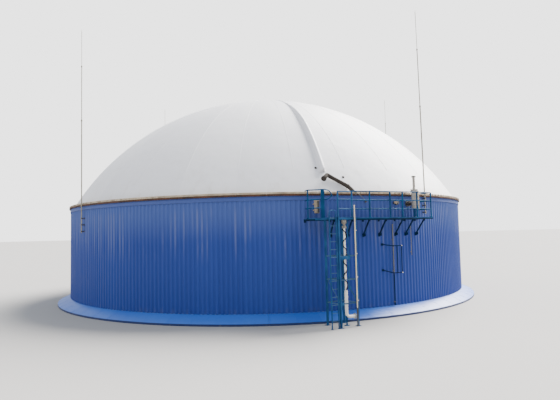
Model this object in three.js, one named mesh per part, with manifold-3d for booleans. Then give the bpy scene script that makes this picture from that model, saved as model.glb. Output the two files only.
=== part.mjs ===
// Biogas storage tank: ribbed steel wall on a raft, two-skin membrane dome, roof platform with a
// ladder tower, pressure safety valve, gas and air pipes and four lightning masts.
// Millimetres, +Z up. The tank's axis is the Z axis and its raft rests on z = 0.
// Angles are degrees around the axis from -Y (the front) towards +X (the right).

import * as THREE from "three";
import { mergeVertices } from "three/addons/utils/BufferGeometryUtils.js";
import Module from "manifold-3d";

const wasm = await Module();
wasm.setup();

// Driving dimensions of the shell
const GAP = 0.3;
const FACETS = 72;
const WALL_OUTER = 11965;
const WALL_THICKNESS = 200;
const WALL_TOP = 5300;
const WALL_SEGMENTS = 8;
const RAFT_RADIUS = 11970;
const RAFT_HEIGHT = 380;
const SKIRT_RADIUS = 12650;
const SKIRT_EDGE = 100;
const SKIRT_SEGMENTS = 4;
const FLASHING_HEIGHT = 190;
const FLASHING_RADIUS = 12025;
const RIM_RADIUS = 12080;
const RIM_HEIGHT = 80;
const RIM_INNER = 11780;
const CLAMP_RADIUS = 12060;
const CLAMP_INNER = 11842;
const CLAMP_HEIGHT = 100;

// Driving dimensions of the dome
const DOME_RADIUS = 13690;
const DOME_FOOT_RADIUS = 11830;
const DOME_THICKNESS = 30;
const DOME_GORES = 6;
const DOME_STEPS = 7;
const CROWN_RADIUS = 900;
const DOME_FOOT = WALL_TOP + RIM_HEIGHT + 2 * GAP;
const DOME_CENTRE = DOME_FOOT - Math.sqrt(DOME_RADIUS ** 2 - DOME_FOOT_RADIUS ** 2);
const CLAMP_TOP = DOME_FOOT + CLAMP_HEIGHT;
const SLEEVE_ANGLE = 13.15;
const SLEEVE_WIDTH = 280;
const SLEEVE_RISE = 250;
const SLEEVE_FOOT = 54.6;
const SLEEVE_HEAD = 8;
const SLEEVE_STEPS = 18;
const SLEEVE_FADE = [21, 40];
const SLEEVE_THINNEST = { width: 0.6, rise: 0.12 };

// Driving dimensions of the platform
const DECK_TOP = 4300;
const DECK_THICKNESS = 30;
const DECK_INNER = 12130;
const DECK_OUTER = 12980;
const DECK_START = 7.5;
const DECK_END = 35.7;
const DECK_STEPS = 7;
const FRAME_DEPTH = 60;
const FRAME_BAR = 60;
const BRACKET_ANGLES = [13.0, 16.8, 20.6, 24.6, 29.0, 32.1, 35.55];
const BRACKET_DROP = 660;
const BRACKET_REACH = 560;
const RAIL_TOP = 5430;
const RAIL_HEIGHTS = [RAIL_TOP, 5060, 4690];
const LEFT_RAIL_HEIGHTS = [5500, 5100, 4750];
const RAIL_TUBE = 24;
const RAIL_RADIUS = 12940;
const POST_SIDE = 55;
const LANDING_RAIL_HEIGHTS = [5350, 5030, 4660];
const LANDING_RAIL_LENGTH = 720;
const FRONT_POSTS = [15.9, 19.65, 24.25, 27.3, 31.2, 35.4];
const LEFT_POST = { angle: 10.25, radius: 12940 };
const LEFT_END = { angle: 7.75, radius: 12650 };
const POST_BOARD = { width: 150, depth: 36, top: 5490 };

// Driving dimensions of the ladder tower, in its own turned frame with the near leg at (0, 0)
const TOWER_ANGLE = 12.85;
const TOWER_CENTRE = 13280;
const TOWER_TURN = 30.4;
const TOWER_SIDE = 860;
const LEG_SIDE = 80;
const TIE_SIDE = 40;
const BRACE_SIDE = 30;
const TOWER_LEVELS = [920, 1845, 2770];
const MULLION = { x: 480, foot: 1460 };
const LADDER_RIGHT = -110;
const LADDER_WIDTH = 330;
const RUNG_PITCH = 305;
const LADDER_TOP = 4450;
const RISER = { x: 555, y: 330 };
const CREAM_PIPE = { x: 775, y: -76, radius: 24, top: 4790 };

// Driving dimensions of the masts: angle and height of the foot
const MASTS = [
  { side: "front_left", angle: -50.0, tip: -50.2, foot: 3950 },
  { side: "front_right", angle: 38.7, tip: 37.85, foot: 4480 },
  { side: "rear_right", angle: 125.2, tip: 125.2, foot: 4200 },
  { side: "rear_left", angle: -135.9, tip: -135.9, foot: 4200 },
];
const MAST_RADIUS = 12130;
const MAST_JOINTS = [9700, 12500];
const MAST_STRAIGHT = 5000;
const MAST_TIP = 14430;

// Driving dimensions of the safety valve beside the wall
const VALVE_ANGLE = 33.0;
const VALVE_RADIUS = 12450;
const VALVE_BODY = 270;
const VALVE_FLANGE = 340;
const VALVE_FOOT = 4690;
const VALVE_NECK = 5550;
const STACK_TUBE = 120;
const STACK_TOP = 6235;
const SIDE_PIPE_ANGLE = 34.3;
const SIDE_PIPE = { width: 64, bottom: 4660, top: 5520 };

// Driving dimensions of the bar frame that stands off the wall, seen at the platform's right
const STANDOFF_RADIUS = 12300;
const STANDOFF_TUBE = 20;
const STANDOFF_LEVELS = [1850, 3050];
const STANDOFF_FEET = [1975, 3115];
const STANDOFF_FOOT = 25.3;
const STANDOFF_START = 27.0;
const STANDOFF_POSTS = [28.1, 29.3];

// Driving dimensions of the thin line from the rim down to the wall
const LINE_RADIUS = 12110;
const LINE_START = 18.9;
const LINE_END = 21.4;

const paint = (colour, roughness, metalness) =>
  new THREE.MeshStandardMaterial({ color: colour, roughness, metalness });
const FINISH = {
  concrete: paint(0x9a9690, 0.9, 0),
  blue: paint(0x2a4f93, 0.5, 0.2),
  teal: paint(0x245a80, 0.5, 0.3),
  rust: paint(0x6b3a22, 0.9, 0.2),
  clamp: paint(0x9c978c, 0.6, 0.3),
  membrane: paint(0xdedee2, 0.55, 0),
  rubber: paint(0x3c3a3a, 0.8, 0),
  galvanised: paint(0x9aa0a2, 0.5, 0.7),
  beige: paint(0xc8b795, 0.6, 0.1),
  white: paint(0xd9dcdf, 0.5, 0.1),
  cream: paint(0xd0c9a6, 0.6, 0.1),
};

const tank = new THREE.Group();

function addMesh(name, geometry, material, parent = tank) {
  const mesh = new THREE.Mesh(geometry, material);
  mesh.name = name;
  parent.add(mesh);
  return mesh;
}

const radians = THREE.MathUtils.degToRad;

// A point by angle, distance from the axis and height
function around(angle, radius, z) {
  const a = radians(angle);
  return new THREE.Vector3(radius * Math.sin(a), -radius * Math.cos(a), z);
}

// Solids with merged vertices, for joining and cutting
function toSolid(geometry) {
  const bare = geometry.clone();
  bare.deleteAttribute("normal");
  bare.deleteAttribute("uv");
  const merged = mergeVertices(bare, 0.001);
  return new wasm.Manifold(new wasm.Mesh({
    numProp: 3,
    vertProperties: new Float32Array(merged.attributes.position.array),
    triVerts: new Uint32Array(merged.index.array),
  }));
}

function fromSolid(solid) {
  const mesh = solid.getMesh();
  const geometry = new THREE.BufferGeometry();
  geometry.setAttribute("position", new THREE.BufferAttribute(mesh.vertProperties, 3));
  geometry.setIndex(new THREE.BufferAttribute(mesh.triVerts, 1));
  geometry.computeVertexNormals();
  return geometry;
}

function join(geometries) {
  return geometries.map(toSolid).reduce((sum, piece) => sum.add(piece));
}

// A horizontal arc around the axis, for sweeping a profile along it
class AxisArc extends THREE.Curve {
  constructor(start, end, radius) {
    super();
    this.start = start;
    this.end = end;
    this.radius = radius;
  }

  getPoint(t) {
    return around(this.start + (this.end - this.start) * t, this.radius, 0);
  }

  getTangent(t) {
    const a = radians(this.start + (this.end - this.start) * t);
    return new THREE.Vector3(Math.cos(a), Math.sin(a), 0);
  }
}

// A solid swept around the axis from one angle to another; the profile lists (radius, z) pairs
function sweepArc(profile, start, end, steps) {
  const base = profile[0][0];
  const shape = new THREE.Shape(profile.map(([r, z]) => new THREE.Vector2(-z, base - r)));
  const path = new AxisArc(start, end, base);
  return new THREE.ExtrudeGeometry(shape, { steps, extrudePath: path, bevelEnabled: false });
}

// A full ring or disc around the axis, from a profile that closes on itself or on the axis
function turned(profile) {
  const points = profile.map(([r, z]) => new THREE.Vector2(r, z));
  return new THREE.LatheGeometry(points, FACETS).rotateX(Math.PI / 2);
}

function ring(inner, outer, bottom, top) {
  return turned([[inner, bottom], [outer, bottom], [outer, top], [inner, top], [inner, bottom]]);
}

function disc(radius, bottom, top) {
  return turned([[0, bottom], [radius, bottom], [radius, top], [0, top]]);
}

function rectangle(inner, outer, bottom, top) {
  return [[inner, bottom], [outer, bottom], [outer, top], [inner, top]];
}

// A segment's start and end angles, with half the running gap taken off each
function segmentAngles(index, count) {
  const half = THREE.MathUtils.radToDeg(GAP / 2 / RAFT_RADIUS);
  const width = 360 / count;
  return [index * width + half, (index + 1) * width - half];
}

// A straight round bar between two points
function bar(from, to, radius, sides = 6) {
  const length = from.distanceTo(to);
  const geometry = new THREE.CylinderGeometry(radius, radius, length, sides);
  const direction = to.clone().sub(from).normalize();
  const turn = new THREE.Quaternion().setFromUnitVectors(new THREE.Vector3(0, 1, 0), direction);
  const middle = from.clone().add(to).multiplyScalar(0.5);
  return geometry.applyQuaternion(turn).translate(middle.x, middle.y, middle.z);
}

// A straight square bar between two points
function squareBar(from, to, side) {
  return bar(from, to, side / Math.SQRT2, 4);
}

// An upright box that faces the tank's axis, given by the angle and the radius of its middle
function radialBox(angle, radius, depth, width, bottom, top) {
  const place = around(angle, radius, (bottom + top) / 2);
  const geometry = new THREE.BoxGeometry(width, depth, top - bottom);
  return geometry.rotateZ(radians(angle)).translate(place.x, place.y, place.z);
}

function upright(angle, radius, bottom, top, thickness, sides = 12) {
  return bar(around(angle, radius, bottom), around(angle, radius, top), thickness / 2, sides);
}

function tubeAlong(points, radius, steps, sides = 10) {
  const outline = new THREE.Shape();
  for (let i = 0; i < sides; i += 1) {
    const a = (2 * Math.PI * i) / sides;
    const x = radius * Math.cos(a);
    const y = radius * Math.sin(a);
    if (i === 0) outline.moveTo(x, y);
    else outline.lineTo(x, y);
  }
  const path = new THREE.CatmullRomCurve3(points, false, "centripetal");
  return new THREE.ExtrudeGeometry(outline, { steps, extrudePath: path, bevelEnabled: false });
}

function circleProfile(radius, z, tube, sides = 6) {
  const profile = [];
  for (let i = 0; i < sides; i += 1) {
    const a = (2 * Math.PI * (i + 0.5)) / sides;
    profile.push([radius + tube * Math.cos(a), z + tube * Math.sin(a)]);
  }
  return profile;
}

// How far a bracket starts inside the wall's round before it is cut to the wall's flats
const WALL_BITE = 30;

// The wall as a cutting tool, so that what is fixed to the wall ends face to face with it
const wallTool = toSolid(disc(WALL_OUTER + GAP, RAFT_HEIGHT - 100, WALL_TOP));
const flashingTool = toSolid(disc(FLASHING_RADIUS + GAP, WALL_TOP - FLASHING_HEIGHT - GAP, WALL_TOP));

// A bracket from the wall out to a radius
function wallBracket(angle, toRadius, width, bottom, top) {
  const from = WALL_OUTER - WALL_BITE;
  return radialBox(angle, (from + toRadius) / 2, toRadius - from, width, bottom, top);
}

function fixedToWall(geometries) {
  return fromSolid(join(geometries).subtract(wallTool).subtract(flashingTool));
}

// Points on the dome's skin
function domePoint(angle, polar, height) {
  const a = radians(polar);
  const radius = DOME_RADIUS + height;
  return around(angle, radius * Math.sin(a), DOME_CENTRE + radius * Math.cos(a));
}

function domeZ(radius, skin) {
  return DOME_CENTRE + Math.sqrt(skin ** 2 - radius ** 2);
}

function domeArc(skin, fromRadius, toRadius, steps) {
  const from = Math.asin(fromRadius / skin);
  const to = Math.asin(toRadius / skin);
  const points = [];
  for (let i = 0; i <= steps; i += 1) {
    const a = from + ((to - from) * i) / steps;
    points.push([skin * Math.sin(a), DOME_CENTRE + skin * Math.cos(a)]);
  }
  return points;
}

function footRadius(skin) {
  return Math.sqrt(skin ** 2 - (DOME_FOOT - DOME_CENTRE) ** 2);
}

function buildBase() {
  addMesh("foundation_slab", disc(RAFT_RADIUS, 0, RAFT_HEIGHT - GAP), FINISH.concrete);
  const inner = RAFT_RADIUS + GAP;
  const profile = [[inner, 0], [SKIRT_RADIUS, 0], [SKIRT_RADIUS, SKIRT_EDGE], [inner, RAFT_HEIGHT - GAP]];
  for (let i = 0; i < SKIRT_SEGMENTS; i += 1) {
    const [start, end] = segmentAngles(i, SKIRT_SEGMENTS);
    const steps = FACETS / SKIRT_SEGMENTS;
    addMesh(`base_skirt_${i + 1}`, sweepArc(profile, start, end, steps), FINISH.blue);
  }
}

function buildWall() {
  const profile = rectangle(WALL_OUTER - WALL_THICKNESS, WALL_OUTER, RAFT_HEIGHT, WALL_TOP);
  for (let i = 0; i < WALL_SEGMENTS; i += 1) {
    const [start, end] = segmentAngles(i, WALL_SEGMENTS);
    const steps = FACETS / WALL_SEGMENTS;
    addMesh(`wall_segment_${i + 1}`, sweepArc(profile, start, end, steps), FINISH.blue);
  }
}

function buildRim() {
  const flashing = ring(WALL_OUTER + GAP, FLASHING_RADIUS, WALL_TOP - FLASHING_HEIGHT, WALL_TOP);
  addMesh("cap_flashing", flashing, FINISH.blue);
  const rimBottom = WALL_TOP + GAP;
  addMesh("rim_angle", ring(RIM_INNER, RIM_RADIUS, rimBottom, rimBottom + RIM_HEIGHT), FINISH.rust);
  addMesh("clamp_rail", ring(CLAMP_INNER, CLAMP_RADIUS, DOME_FOOT, CLAMP_TOP), FINISH.clamp);
}

function buildDome() {
  const inner = DOME_RADIUS - DOME_THICKNESS;
  const outside = domeArc(DOME_RADIUS, DOME_FOOT_RADIUS, CROWN_RADIUS, DOME_STEPS);
  const inside = domeArc(inner, footRadius(inner), CROWN_RADIUS, DOME_STEPS).reverse();
  for (let i = 0; i < DOME_GORES; i += 1) {
    const [start, end] = segmentAngles(i, DOME_GORES);
    const steps = FACETS / DOME_GORES;
    const gore = sweepArc([...outside, ...inside], start, end, steps);
    addMesh(`dome_gore_${i + 1}`, gore, FINISH.membrane);
  }
  const edge = CROWN_RADIUS - GAP;
  const crown = [
    [0, domeZ(0, inner)],
    [edge, domeZ(edge, inner)],
    [edge, domeZ(edge, DOME_RADIUS)],
    [0, domeZ(0, DOME_RADIUS)],
  ];
  addMesh("dome_crown", turned(crown), FINISH.membrane);
}

// The dome's outline grown by the running gap, as a cutting tool
function domeTool() {
  const arc = domeArc(DOME_RADIUS + GAP, DOME_FOOT_RADIUS, CROWN_RADIUS, DOME_STEPS);
  const top = [0, domeZ(0, DOME_RADIUS) + GAP];
  return toSolid(turned([[0, DOME_FOOT - 500], [DOME_FOOT_RADIUS, DOME_FOOT - 500], ...arc, top]));
}

// The air sleeve runs from the dome's foot towards its top, as a half-round bead on the skin
function sleeveBead(growth) {
  const foot = SLEEVE_FOOT + THREE.MathUtils.radToDeg(growth / DOME_RADIUS);
  const path = new THREE.CatmullRomCurve3(
    Array.from({ length: SLEEVE_STEPS + 1 }, (_, i) =>
      domePoint(SLEEVE_ANGLE, foot + ((SLEEVE_HEAD - foot) * i) / SLEEVE_STEPS, 0)),
  );
  const outline = new THREE.Shape();
  const half = SLEEVE_WIDTH / 2 + growth;
  const rise = SLEEVE_RISE + growth;
  const sides = 6;
  const depth = 60;
  // The sweep's own axes: x runs across the sleeve, y away from the dome
  outline.moveTo(-half, -depth);
  for (let i = sides; i >= 0; i -= 1) {
    const a = (Math.PI * i) / sides;
    outline.lineTo(half * Math.cos(a), rise * Math.sin(a));
  }
  outline.lineTo(half, -depth);
  return toSolid(sweepOnDome(outline, path));
}

// A sweep whose shape keeps its y axis pointing away from the dome's centre and flattens out higher up
function sweepOnDome(outline, path) {
  const geometry = new THREE.ExtrudeGeometry(outline, {
    steps: SLEEVE_STEPS, depth: 1, bevelEnabled: false,
  });
  const position = geometry.attributes.position;
  const centre = new THREE.Vector3(0, 0, DOME_CENTRE);
  const across = around(SLEEVE_ANGLE - 90, 1, 0);
  for (let i = 0; i < position.count; i += 1) {
    const point = path.getPointAt(Math.min(1, Math.max(0, position.getZ(i))));
    const outward = point.clone().sub(centre).normalize();
    const share = THREE.MathUtils.smoothstep(THREE.MathUtils.radToDeg(Math.acos(outward.z)), ...SLEEVE_FADE);
    const wide = THREE.MathUtils.lerp(SLEEVE_THINNEST.width, 1, share);
    const high = position.getY(i) > 0 ? THREE.MathUtils.lerp(SLEEVE_THINNEST.rise, 1, share) : 1;
    point.addScaledVector(across, position.getX(i) * wide);
    point.addScaledVector(outward, position.getY(i) * high);
    position.setXYZ(i, point.x, point.y, point.z);
  }
  return geometry;
}

// The air pipe turns at the sleeve's foot and lies on the dome down to the clamp rail
function airPipe() {
  const radius = 88;
  const lift = radius + 12;
  const flangeCentre = domePoint(12.48, 57.13, lift + 170);
  const points = [
    flangeCentre,
    domePoint(13.16, 56.39, lift + 100),
    domePoint(13.69, 55.93, lift + 65),
    domePoint(14.61, 56.36, lift + 25),
    domePoint(16.67, 57.53, lift),
    domePoint(17.95, 58.49, lift + 20),
    around(18.6, 11960, CLAMP_TOP - 50),
  ];
  const pipe = tubeAlong(points, radius, 24, 8);
  const outward = points[0].clone().sub(points[1]).normalize();
  const flange = bar(flangeCentre, flangeCentre.clone().addScaledVector(outward, 40), 122, 14);
  const belowRail = toSolid(disc(CLAMP_RADIUS + 200, CLAMP_TOP - 400, CLAMP_TOP + GAP));
  return join([pipe, flange]).subtract(belowRail);
}

// The platform's outer curve as a cutting tool, wide enough to clear its straight steps
const deckCurve = (DECK_OUTER + GAP) / Math.cos(Math.PI / FACETS);
const deckFront = toSolid(disc(deckCurve, DECK_TOP - 500, DECK_TOP + 500));

function buildPlatformFrame() {
  const top = DECK_TOP - DECK_THICKNESS - GAP;
  const bottom = top - FRAME_DEPTH;
  const outer = DECK_OUTER;
  const edge = rectangle(outer - FRAME_BAR, outer, bottom, top);
  const innerEdge = rectangle(DECK_INNER, DECK_INNER + FRAME_BAR, bottom, top);
  const pieces = [
    sweepArc(edge, DECK_START, DECK_END, DECK_STEPS),
    sweepArc(innerEdge, DECK_START, DECK_END, DECK_STEPS),
  ];
  const reach = outer - WALL_OUTER;
  const arms = [DECK_START + 0.2, ...BRACKET_ANGLES];
  for (const angle of arms) {
    pieces.push(radialBox(angle, outer - 20 - reach / 2, reach + 20, FRAME_BAR, bottom, top));
  }
  for (const angle of BRACKET_ANGLES) {
    const foot = around(angle, WALL_OUTER + 10, bottom - BRACKET_DROP);
    const head = around(angle, WALL_OUTER + BRACKET_REACH, bottom + 20);
    pieces.push(squareBar(foot, head, FRAME_BAR));
    pieces.push(wallBracket(angle, WALL_OUTER + 75, 140, bottom - BRACKET_DROP - 120, top));
  }
  addMesh("platform_frame", fixedToWall(pieces), FINISH.teal);
}

function buildDeck() {
  const profile = rectangle(DECK_INNER, DECK_OUTER, DECK_TOP - DECK_THICKNESS, DECK_TOP);
  addMesh("platform_deck", sweepArc(profile, DECK_START, DECK_END, DECK_STEPS), FINISH.teal);
}

function post(angle, radius, top = RAIL_TOP) {
  return radialBox(angle, radius, POST_SIDE, POST_SIDE, DECK_TOP + GAP, top);
}

// Straight rails between two places given by angle and radius
function straightRails(from, to, heights = RAIL_HEIGHTS) {
  return heights.map((z) =>
    bar(around(from.angle, from.radius, z - RAIL_TUBE), around(to.angle, to.radius, z - RAIL_TUBE), RAIL_TUBE));
}

function arcRails(start, end, steps) {
  return RAIL_HEIGHTS.map((z) =>
    sweepArc(circleProfile(RAIL_RADIUS, z - RAIL_TUBE, RAIL_TUBE), start, end, steps));
}

function buildRailings() {
  const last = FRONT_POSTS[FRONT_POSTS.length - 1];
  const rightEnd = { angle: last, radius: RAIL_RADIUS };
  const front = [
    ...arcRails(FRONT_POSTS[0], last, 7),
    ...FRONT_POSTS.map((angle) => post(angle, RAIL_RADIUS)),
    ...straightRails(rightEnd, { angle: last, radius: DECK_INNER + 60 }),
    post(last, DECK_INNER + 60),
  ];
  addMesh("railing_front", fromSolid(join(front)), FINISH.teal);
  const { angle, radius } = LEFT_POST;
  const corner = LEFT_END;
  const wallEnd = { angle: corner.angle, radius: DECK_INNER + 40 };
  const [leftTop] = LEFT_RAIL_HEIGHTS;
  const left = [
    ...straightRails(corner, LEFT_POST, LEFT_RAIL_HEIGHTS),
    ...straightRails(corner, wallEnd, LEFT_RAIL_HEIGHTS),
    post(corner.angle, corner.radius, leftTop),
    post(angle, radius, leftTop),
    radialBox(angle, radius, POST_BOARD.depth, POST_BOARD.width, DECK_TOP + GAP, POST_BOARD.top),
    handGrip(),
  ];
  addMesh("railing_left", fromSolid(join(left)), FINISH.teal);
}

// The top rail bends down beside the ladder opening and comes back to its post
function handGrip() {
  const { angle, radius } = LEFT_POST;
  const top = LEFT_RAIL_HEIGHTS[0] - RAIL_TUBE;
  const points = [
    around(angle, radius, top),
    around(angle + 0.5, radius + 20, top),
    around(angle + 1.2, radius + 60, top - 66),
    around(angle + 1.6, radius + 80, top - 236),
    around(angle + 1.0, radius + 40, top - 376),
    around(angle, radius, top - 396),
  ];
  return tubeAlong(points, RAIL_TUBE, 9, 6);
}

// The ladder tower's own frame: x along its front side, y towards the left leg
function towerFrame() {
  const group = new THREE.Group();
  const turn = radians(TOWER_TURN);
  const centre = around(TOWER_ANGLE, TOWER_CENTRE, 0);
  const half = TOWER_SIDE / 2;
  const x = centre.x - half * Math.cos(turn) + half * Math.sin(turn);
  const y = centre.y - half * Math.sin(turn) - half * Math.cos(turn);
  group.position.set(x, y, 0);
  group.rotation.z = turn;
  tank.add(group);
  return group;
}

const at = (x, y, z) => new THREE.Vector3(x, y, z);

function box(x0, x1, y0, y1, z0, z1) {
  return new THREE.BoxGeometry(x1 - x0, y1 - y0, z1 - z0)
    .translate((x0 + x1) / 2, (y0 + y1) / 2, (z0 + z1) / 2);
}

// Two legs with their ties, in the plane y
function towerSide(y, top) {
  const half = LEG_SIDE / 2;
  const tie = TIE_SIDE / 2;
  return [
    box(-half, half, y - half, y + half, 0, top),
    box(TOWER_SIDE - half, TOWER_SIDE + half, y - half, y + half, 0, top),
    ...TOWER_LEVELS.map((z) => box(0, TOWER_SIDE, y - tie, y + tie, z - tie, z + tie)),
  ];
}

// The front side's upright between the legs, with a strut from its foot to the right leg
function towerMullion(top) {
  const { x, foot } = MULLION;
  const half = TIE_SIDE / 2;
  const strutFoot = TOWER_LEVELS[0] + 90;
  return [
    box(x - half, x + half, -half, half, foot, top),
    squareBar(at(x, 0, foot + 30), at(TOWER_SIDE, 0, strutFoot), BRACE_SIDE),
  ];
}

// A tie between the two sides, in the plane x
function crossTie(x, z, start) {
  const tie = TIE_SIDE / 2;
  return box(x - tie, x + tie, start, TOWER_SIDE - LEG_SIDE / 2 - GAP, z - tie, z + tie);
}

// The two lower ties between the two sides, in the plane x, and the diagonal between them
function towerBracing(x) {
  const start = LEG_SIDE / 2 + GAP;
  const end = TOWER_SIDE - start;
  const [low, high] = TOWER_LEVELS;
  return fromSolid(join([
    crossTie(x, low, start),
    crossTie(x, high, start),
    squareBar(at(x, end - 30, high), at(x, start + 30, low), BRACE_SIDE),
  ]));
}

function buildTower(group) {
  const top = DECK_TOP - DECK_THICKNESS - FRAME_DEPTH - 2 * GAP;
  const head = TOWER_LEVELS[2];
  const headTies = [crossTie(0, head, 0), crossTie(TOWER_SIDE, head, 0)];
  const front = join([...towerSide(0, top), ...towerMullion(top), ...headTies]);
  addMesh("tower_front_side", fromSolid(front), FINISH.teal, group);
  addMesh("tower_rear_side", fromSolid(join(towerSide(TOWER_SIDE, top))), FINISH.teal, group);
  addMesh("tower_left_bracing", towerBracing(0), FINISH.teal, group);
  addMesh("tower_right_bracing", towerBracing(TOWER_SIDE), FINISH.teal, group);
}

// The landing on the tower's head, cut to the curve of the platform
function buildLanding(group) {
  const reach = LADDER_RIGHT - LADDER_WIDTH - 40;
  const half = LEG_SIDE / 2;
  const outline = new THREE.Shape([
    new THREE.Vector2(LADDER_RIGHT + 80, -half - 10),
    new THREE.Vector2(TOWER_SIDE + half, -half - 10),
    new THREE.Vector2(TOWER_SIDE + half, TOWER_SIDE),
    new THREE.Vector2(reach, TOWER_SIDE),
    new THREE.Vector2(reach, 60),
    new THREE.Vector2(LADDER_RIGHT + 80, 60),
  ]);
  const depth = DECK_THICKNESS + FRAME_DEPTH;
  const plate = new THREE.ExtrudeGeometry(outline, { depth, bevelEnabled: false });
  plate.translate(0, 0, DECK_TOP - depth);
  group.updateMatrixWorld(true);
  plate.applyMatrix4(group.matrixWorld);
  const landing = fromSolid(toSolid(plate).subtract(deckFront));
  landing.applyMatrix4(group.matrixWorld.clone().invert());
  addMesh("tower_landing", landing, FINISH.teal, group);
}

function buildLandingRailing(group) {
  const half = POST_SIDE / 2;
  const right = LANDING_RAIL_LENGTH;
  const [top] = LANDING_RAIL_HEIGHTS;
  const pieces = [
    box(-half, half, -half, half, DECK_TOP + GAP, top),
    box(right - half, right + half, -half, half, DECK_TOP + GAP, top),
  ];
  for (const z of LANDING_RAIL_HEIGHTS) {
    pieces.push(bar(at(0, 0, z - RAIL_TUBE), at(right, 0, z - RAIL_TUBE), RAIL_TUBE));
  }
  addMesh("railing_landing", fromSolid(join(pieces)), FINISH.teal, group);
}

function buildLadder(group) {
  const left = LADDER_RIGHT - LADDER_WIDTH;
  const pieces = [];
  for (const x of [left, LADDER_RIGHT]) pieces.push(box(x - 12, x + 12, -30, 30, 0, LADDER_TOP));
  for (let z = RUNG_PITCH; z < LADDER_TOP; z += RUNG_PITCH) {
    pieces.push(bar(at(left, 0, z), at(LADDER_RIGHT, 0, z), 14, 4));
  }
  const hoop = [
    at(left, 0, LADDER_TOP - 10),
    at(left + 30, 0, LADDER_TOP + 90),
    at((left + LADDER_RIGHT) / 2, 0, LADDER_TOP + 130),
    at(LADDER_RIGHT - 30, 0, LADDER_TOP + 90),
    at(LADDER_RIGHT, 0, LADDER_TOP - 10),
  ];
  pieces.push(tubeAlong(hoop, 18, 8, 6));
  for (const z of TOWER_LEVELS) {
    pieces.push(box(LADDER_RIGHT, -LEG_SIDE / 2 - GAP, -20, 20, z + 70, z + 110));
  }
  addMesh("ladder", fromSolid(join(pieces)), FINISH.teal, group);
}

// The control box hangs on the wall behind the platform's left end
function buildControlBox() {
  const pieces = [
    radialBox(9.9, 12320, 160, 205, 4520, 5080),
    wallBracket(9.9, 12240, 60, 4640, 4700),
    wallBracket(9.9, 12240, 60, 4900, 4960),
  ];
  addMesh("control_box", fixedToWall(pieces), FINISH.beige);
}

// The pressure safety valve stands beside the wall on a stub from the gas space
function buildValve() {
  const piece = (bottom, top, thickness, sides) =>
    upright(VALVE_ANGLE, VALVE_RADIUS, bottom, top, thickness, sides);
  const side = around(SIDE_PIPE_ANGLE, VALVE_RADIUS, 4850);
  const body = [
    piece(DECK_TOP + GAP, DECK_TOP + 40, VALVE_FLANGE, 20),
    piece(DECK_TOP + GAP, VALVE_FOOT + 20, 120, 16),
    piece(VALVE_FOOT, VALVE_NECK - 20, VALVE_BODY, 20),
    piece(VALVE_NECK - 60, VALVE_NECK, VALVE_FLANGE, 24),
    bar(around(VALVE_ANGLE, WALL_OUTER - 60, 4950), around(VALVE_ANGLE, VALVE_RADIUS, 4950), 80, 16),
    upright(SIDE_PIPE_ANGLE, VALVE_RADIUS, SIDE_PIPE.bottom, SIDE_PIPE.top, SIDE_PIPE.width, 12),
    bar(around(VALVE_ANGLE, VALVE_RADIUS, 4850), side, 30, 10),
  ];
  addMesh("safety_valve", fixedToWall(body), FINISH.galvanised);
  const flange = VALVE_NECK + GAP;
  const stack = [
    piece(flange, flange + 50, VALVE_FLANGE, 24),
    piece(flange, STACK_TOP - 50, STACK_TUBE, 16),
    piece(STACK_TOP - 80, STACK_TOP, STACK_TUBE + 80, 20),
  ];
  addMesh("valve_stack", fromSolid(join(stack)), FINISH.galvanised);
}

// The insulated gas riser stands inside the tower and turns out to a flange at its foot
function buildRiser(group) {
  const { x, y } = RISER;
  const top = DECK_TOP - DECK_THICKNESS - FRAME_DEPTH - 2 * GAP;
  const pieces = [
    bar(at(x, y, 1300), at(x, y, 4120), 52, 10),
    bar(at(x, y, 600), at(x, y, 1380), 68, 10),
    bar(at(x, y, 4060), at(x, y, top), 100, 12),
    bar(at(x, y, 3860), at(x, y, 3960), 90, 12),
    tubeAlong([at(x, y, 620), at(x, y, 440), at(x + 70, y, 350), at(x + 220, y, 330)], 68, 7),
    bar(at(x + 200, y, 330), at(x + 440, y, 330), 62, 10),
    bar(at(x + 410, y, 330), at(x + 440, y, 330), 120, 16),
    bar(at(x, y, 0), at(x, y, 420), 35, 8),
    bar(at(x, y, 0), at(x, y, 14), 110, 12),
  ];
  addMesh("gas_riser", fromSolid(join(pieces)), FINISH.white, group);
}

// The cream pipe is clipped in front of the tower's right leg and stands on the ground
function buildCreamPipe(group) {
  const { x, y, radius, top } = CREAM_PIPE;
  const face = -LEG_SIDE / 2 - GAP;
  const pieces = [bar(at(x, y, 0), at(x, y, top), radius, 10)];
  for (const z of [...TOWER_LEVELS, 3695]) {
    pieces.push(box(x, TOWER_SIDE + 20, face - 20, face, z + 60, z + 100));
  }
  addMesh("cream_pipe", fromSolid(join(pieces)), FINISH.cream, group);
}

function wallPipe(name, angle, radius, bottom, top, thickness, clips, material) {
  const pieces = [upright(angle, radius, bottom, top, thickness, 10)];
  for (const z of clips) {
    pieces.push(wallBracket(angle, radius, 50, z, z + 40));
  }
  addMesh(name, fixedToWall(pieces), material);
}

function buildWallPipes() {
  wallPipe("conduit", 28.1, 12050, 400, 4020, 45, [520, 1900, 3300], FINISH.galvanised);
  wallPipe("drain_line", 33.7, 12045, 2570, 3960, 30, [2700, 3800], FINISH.galvanised);
}

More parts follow.
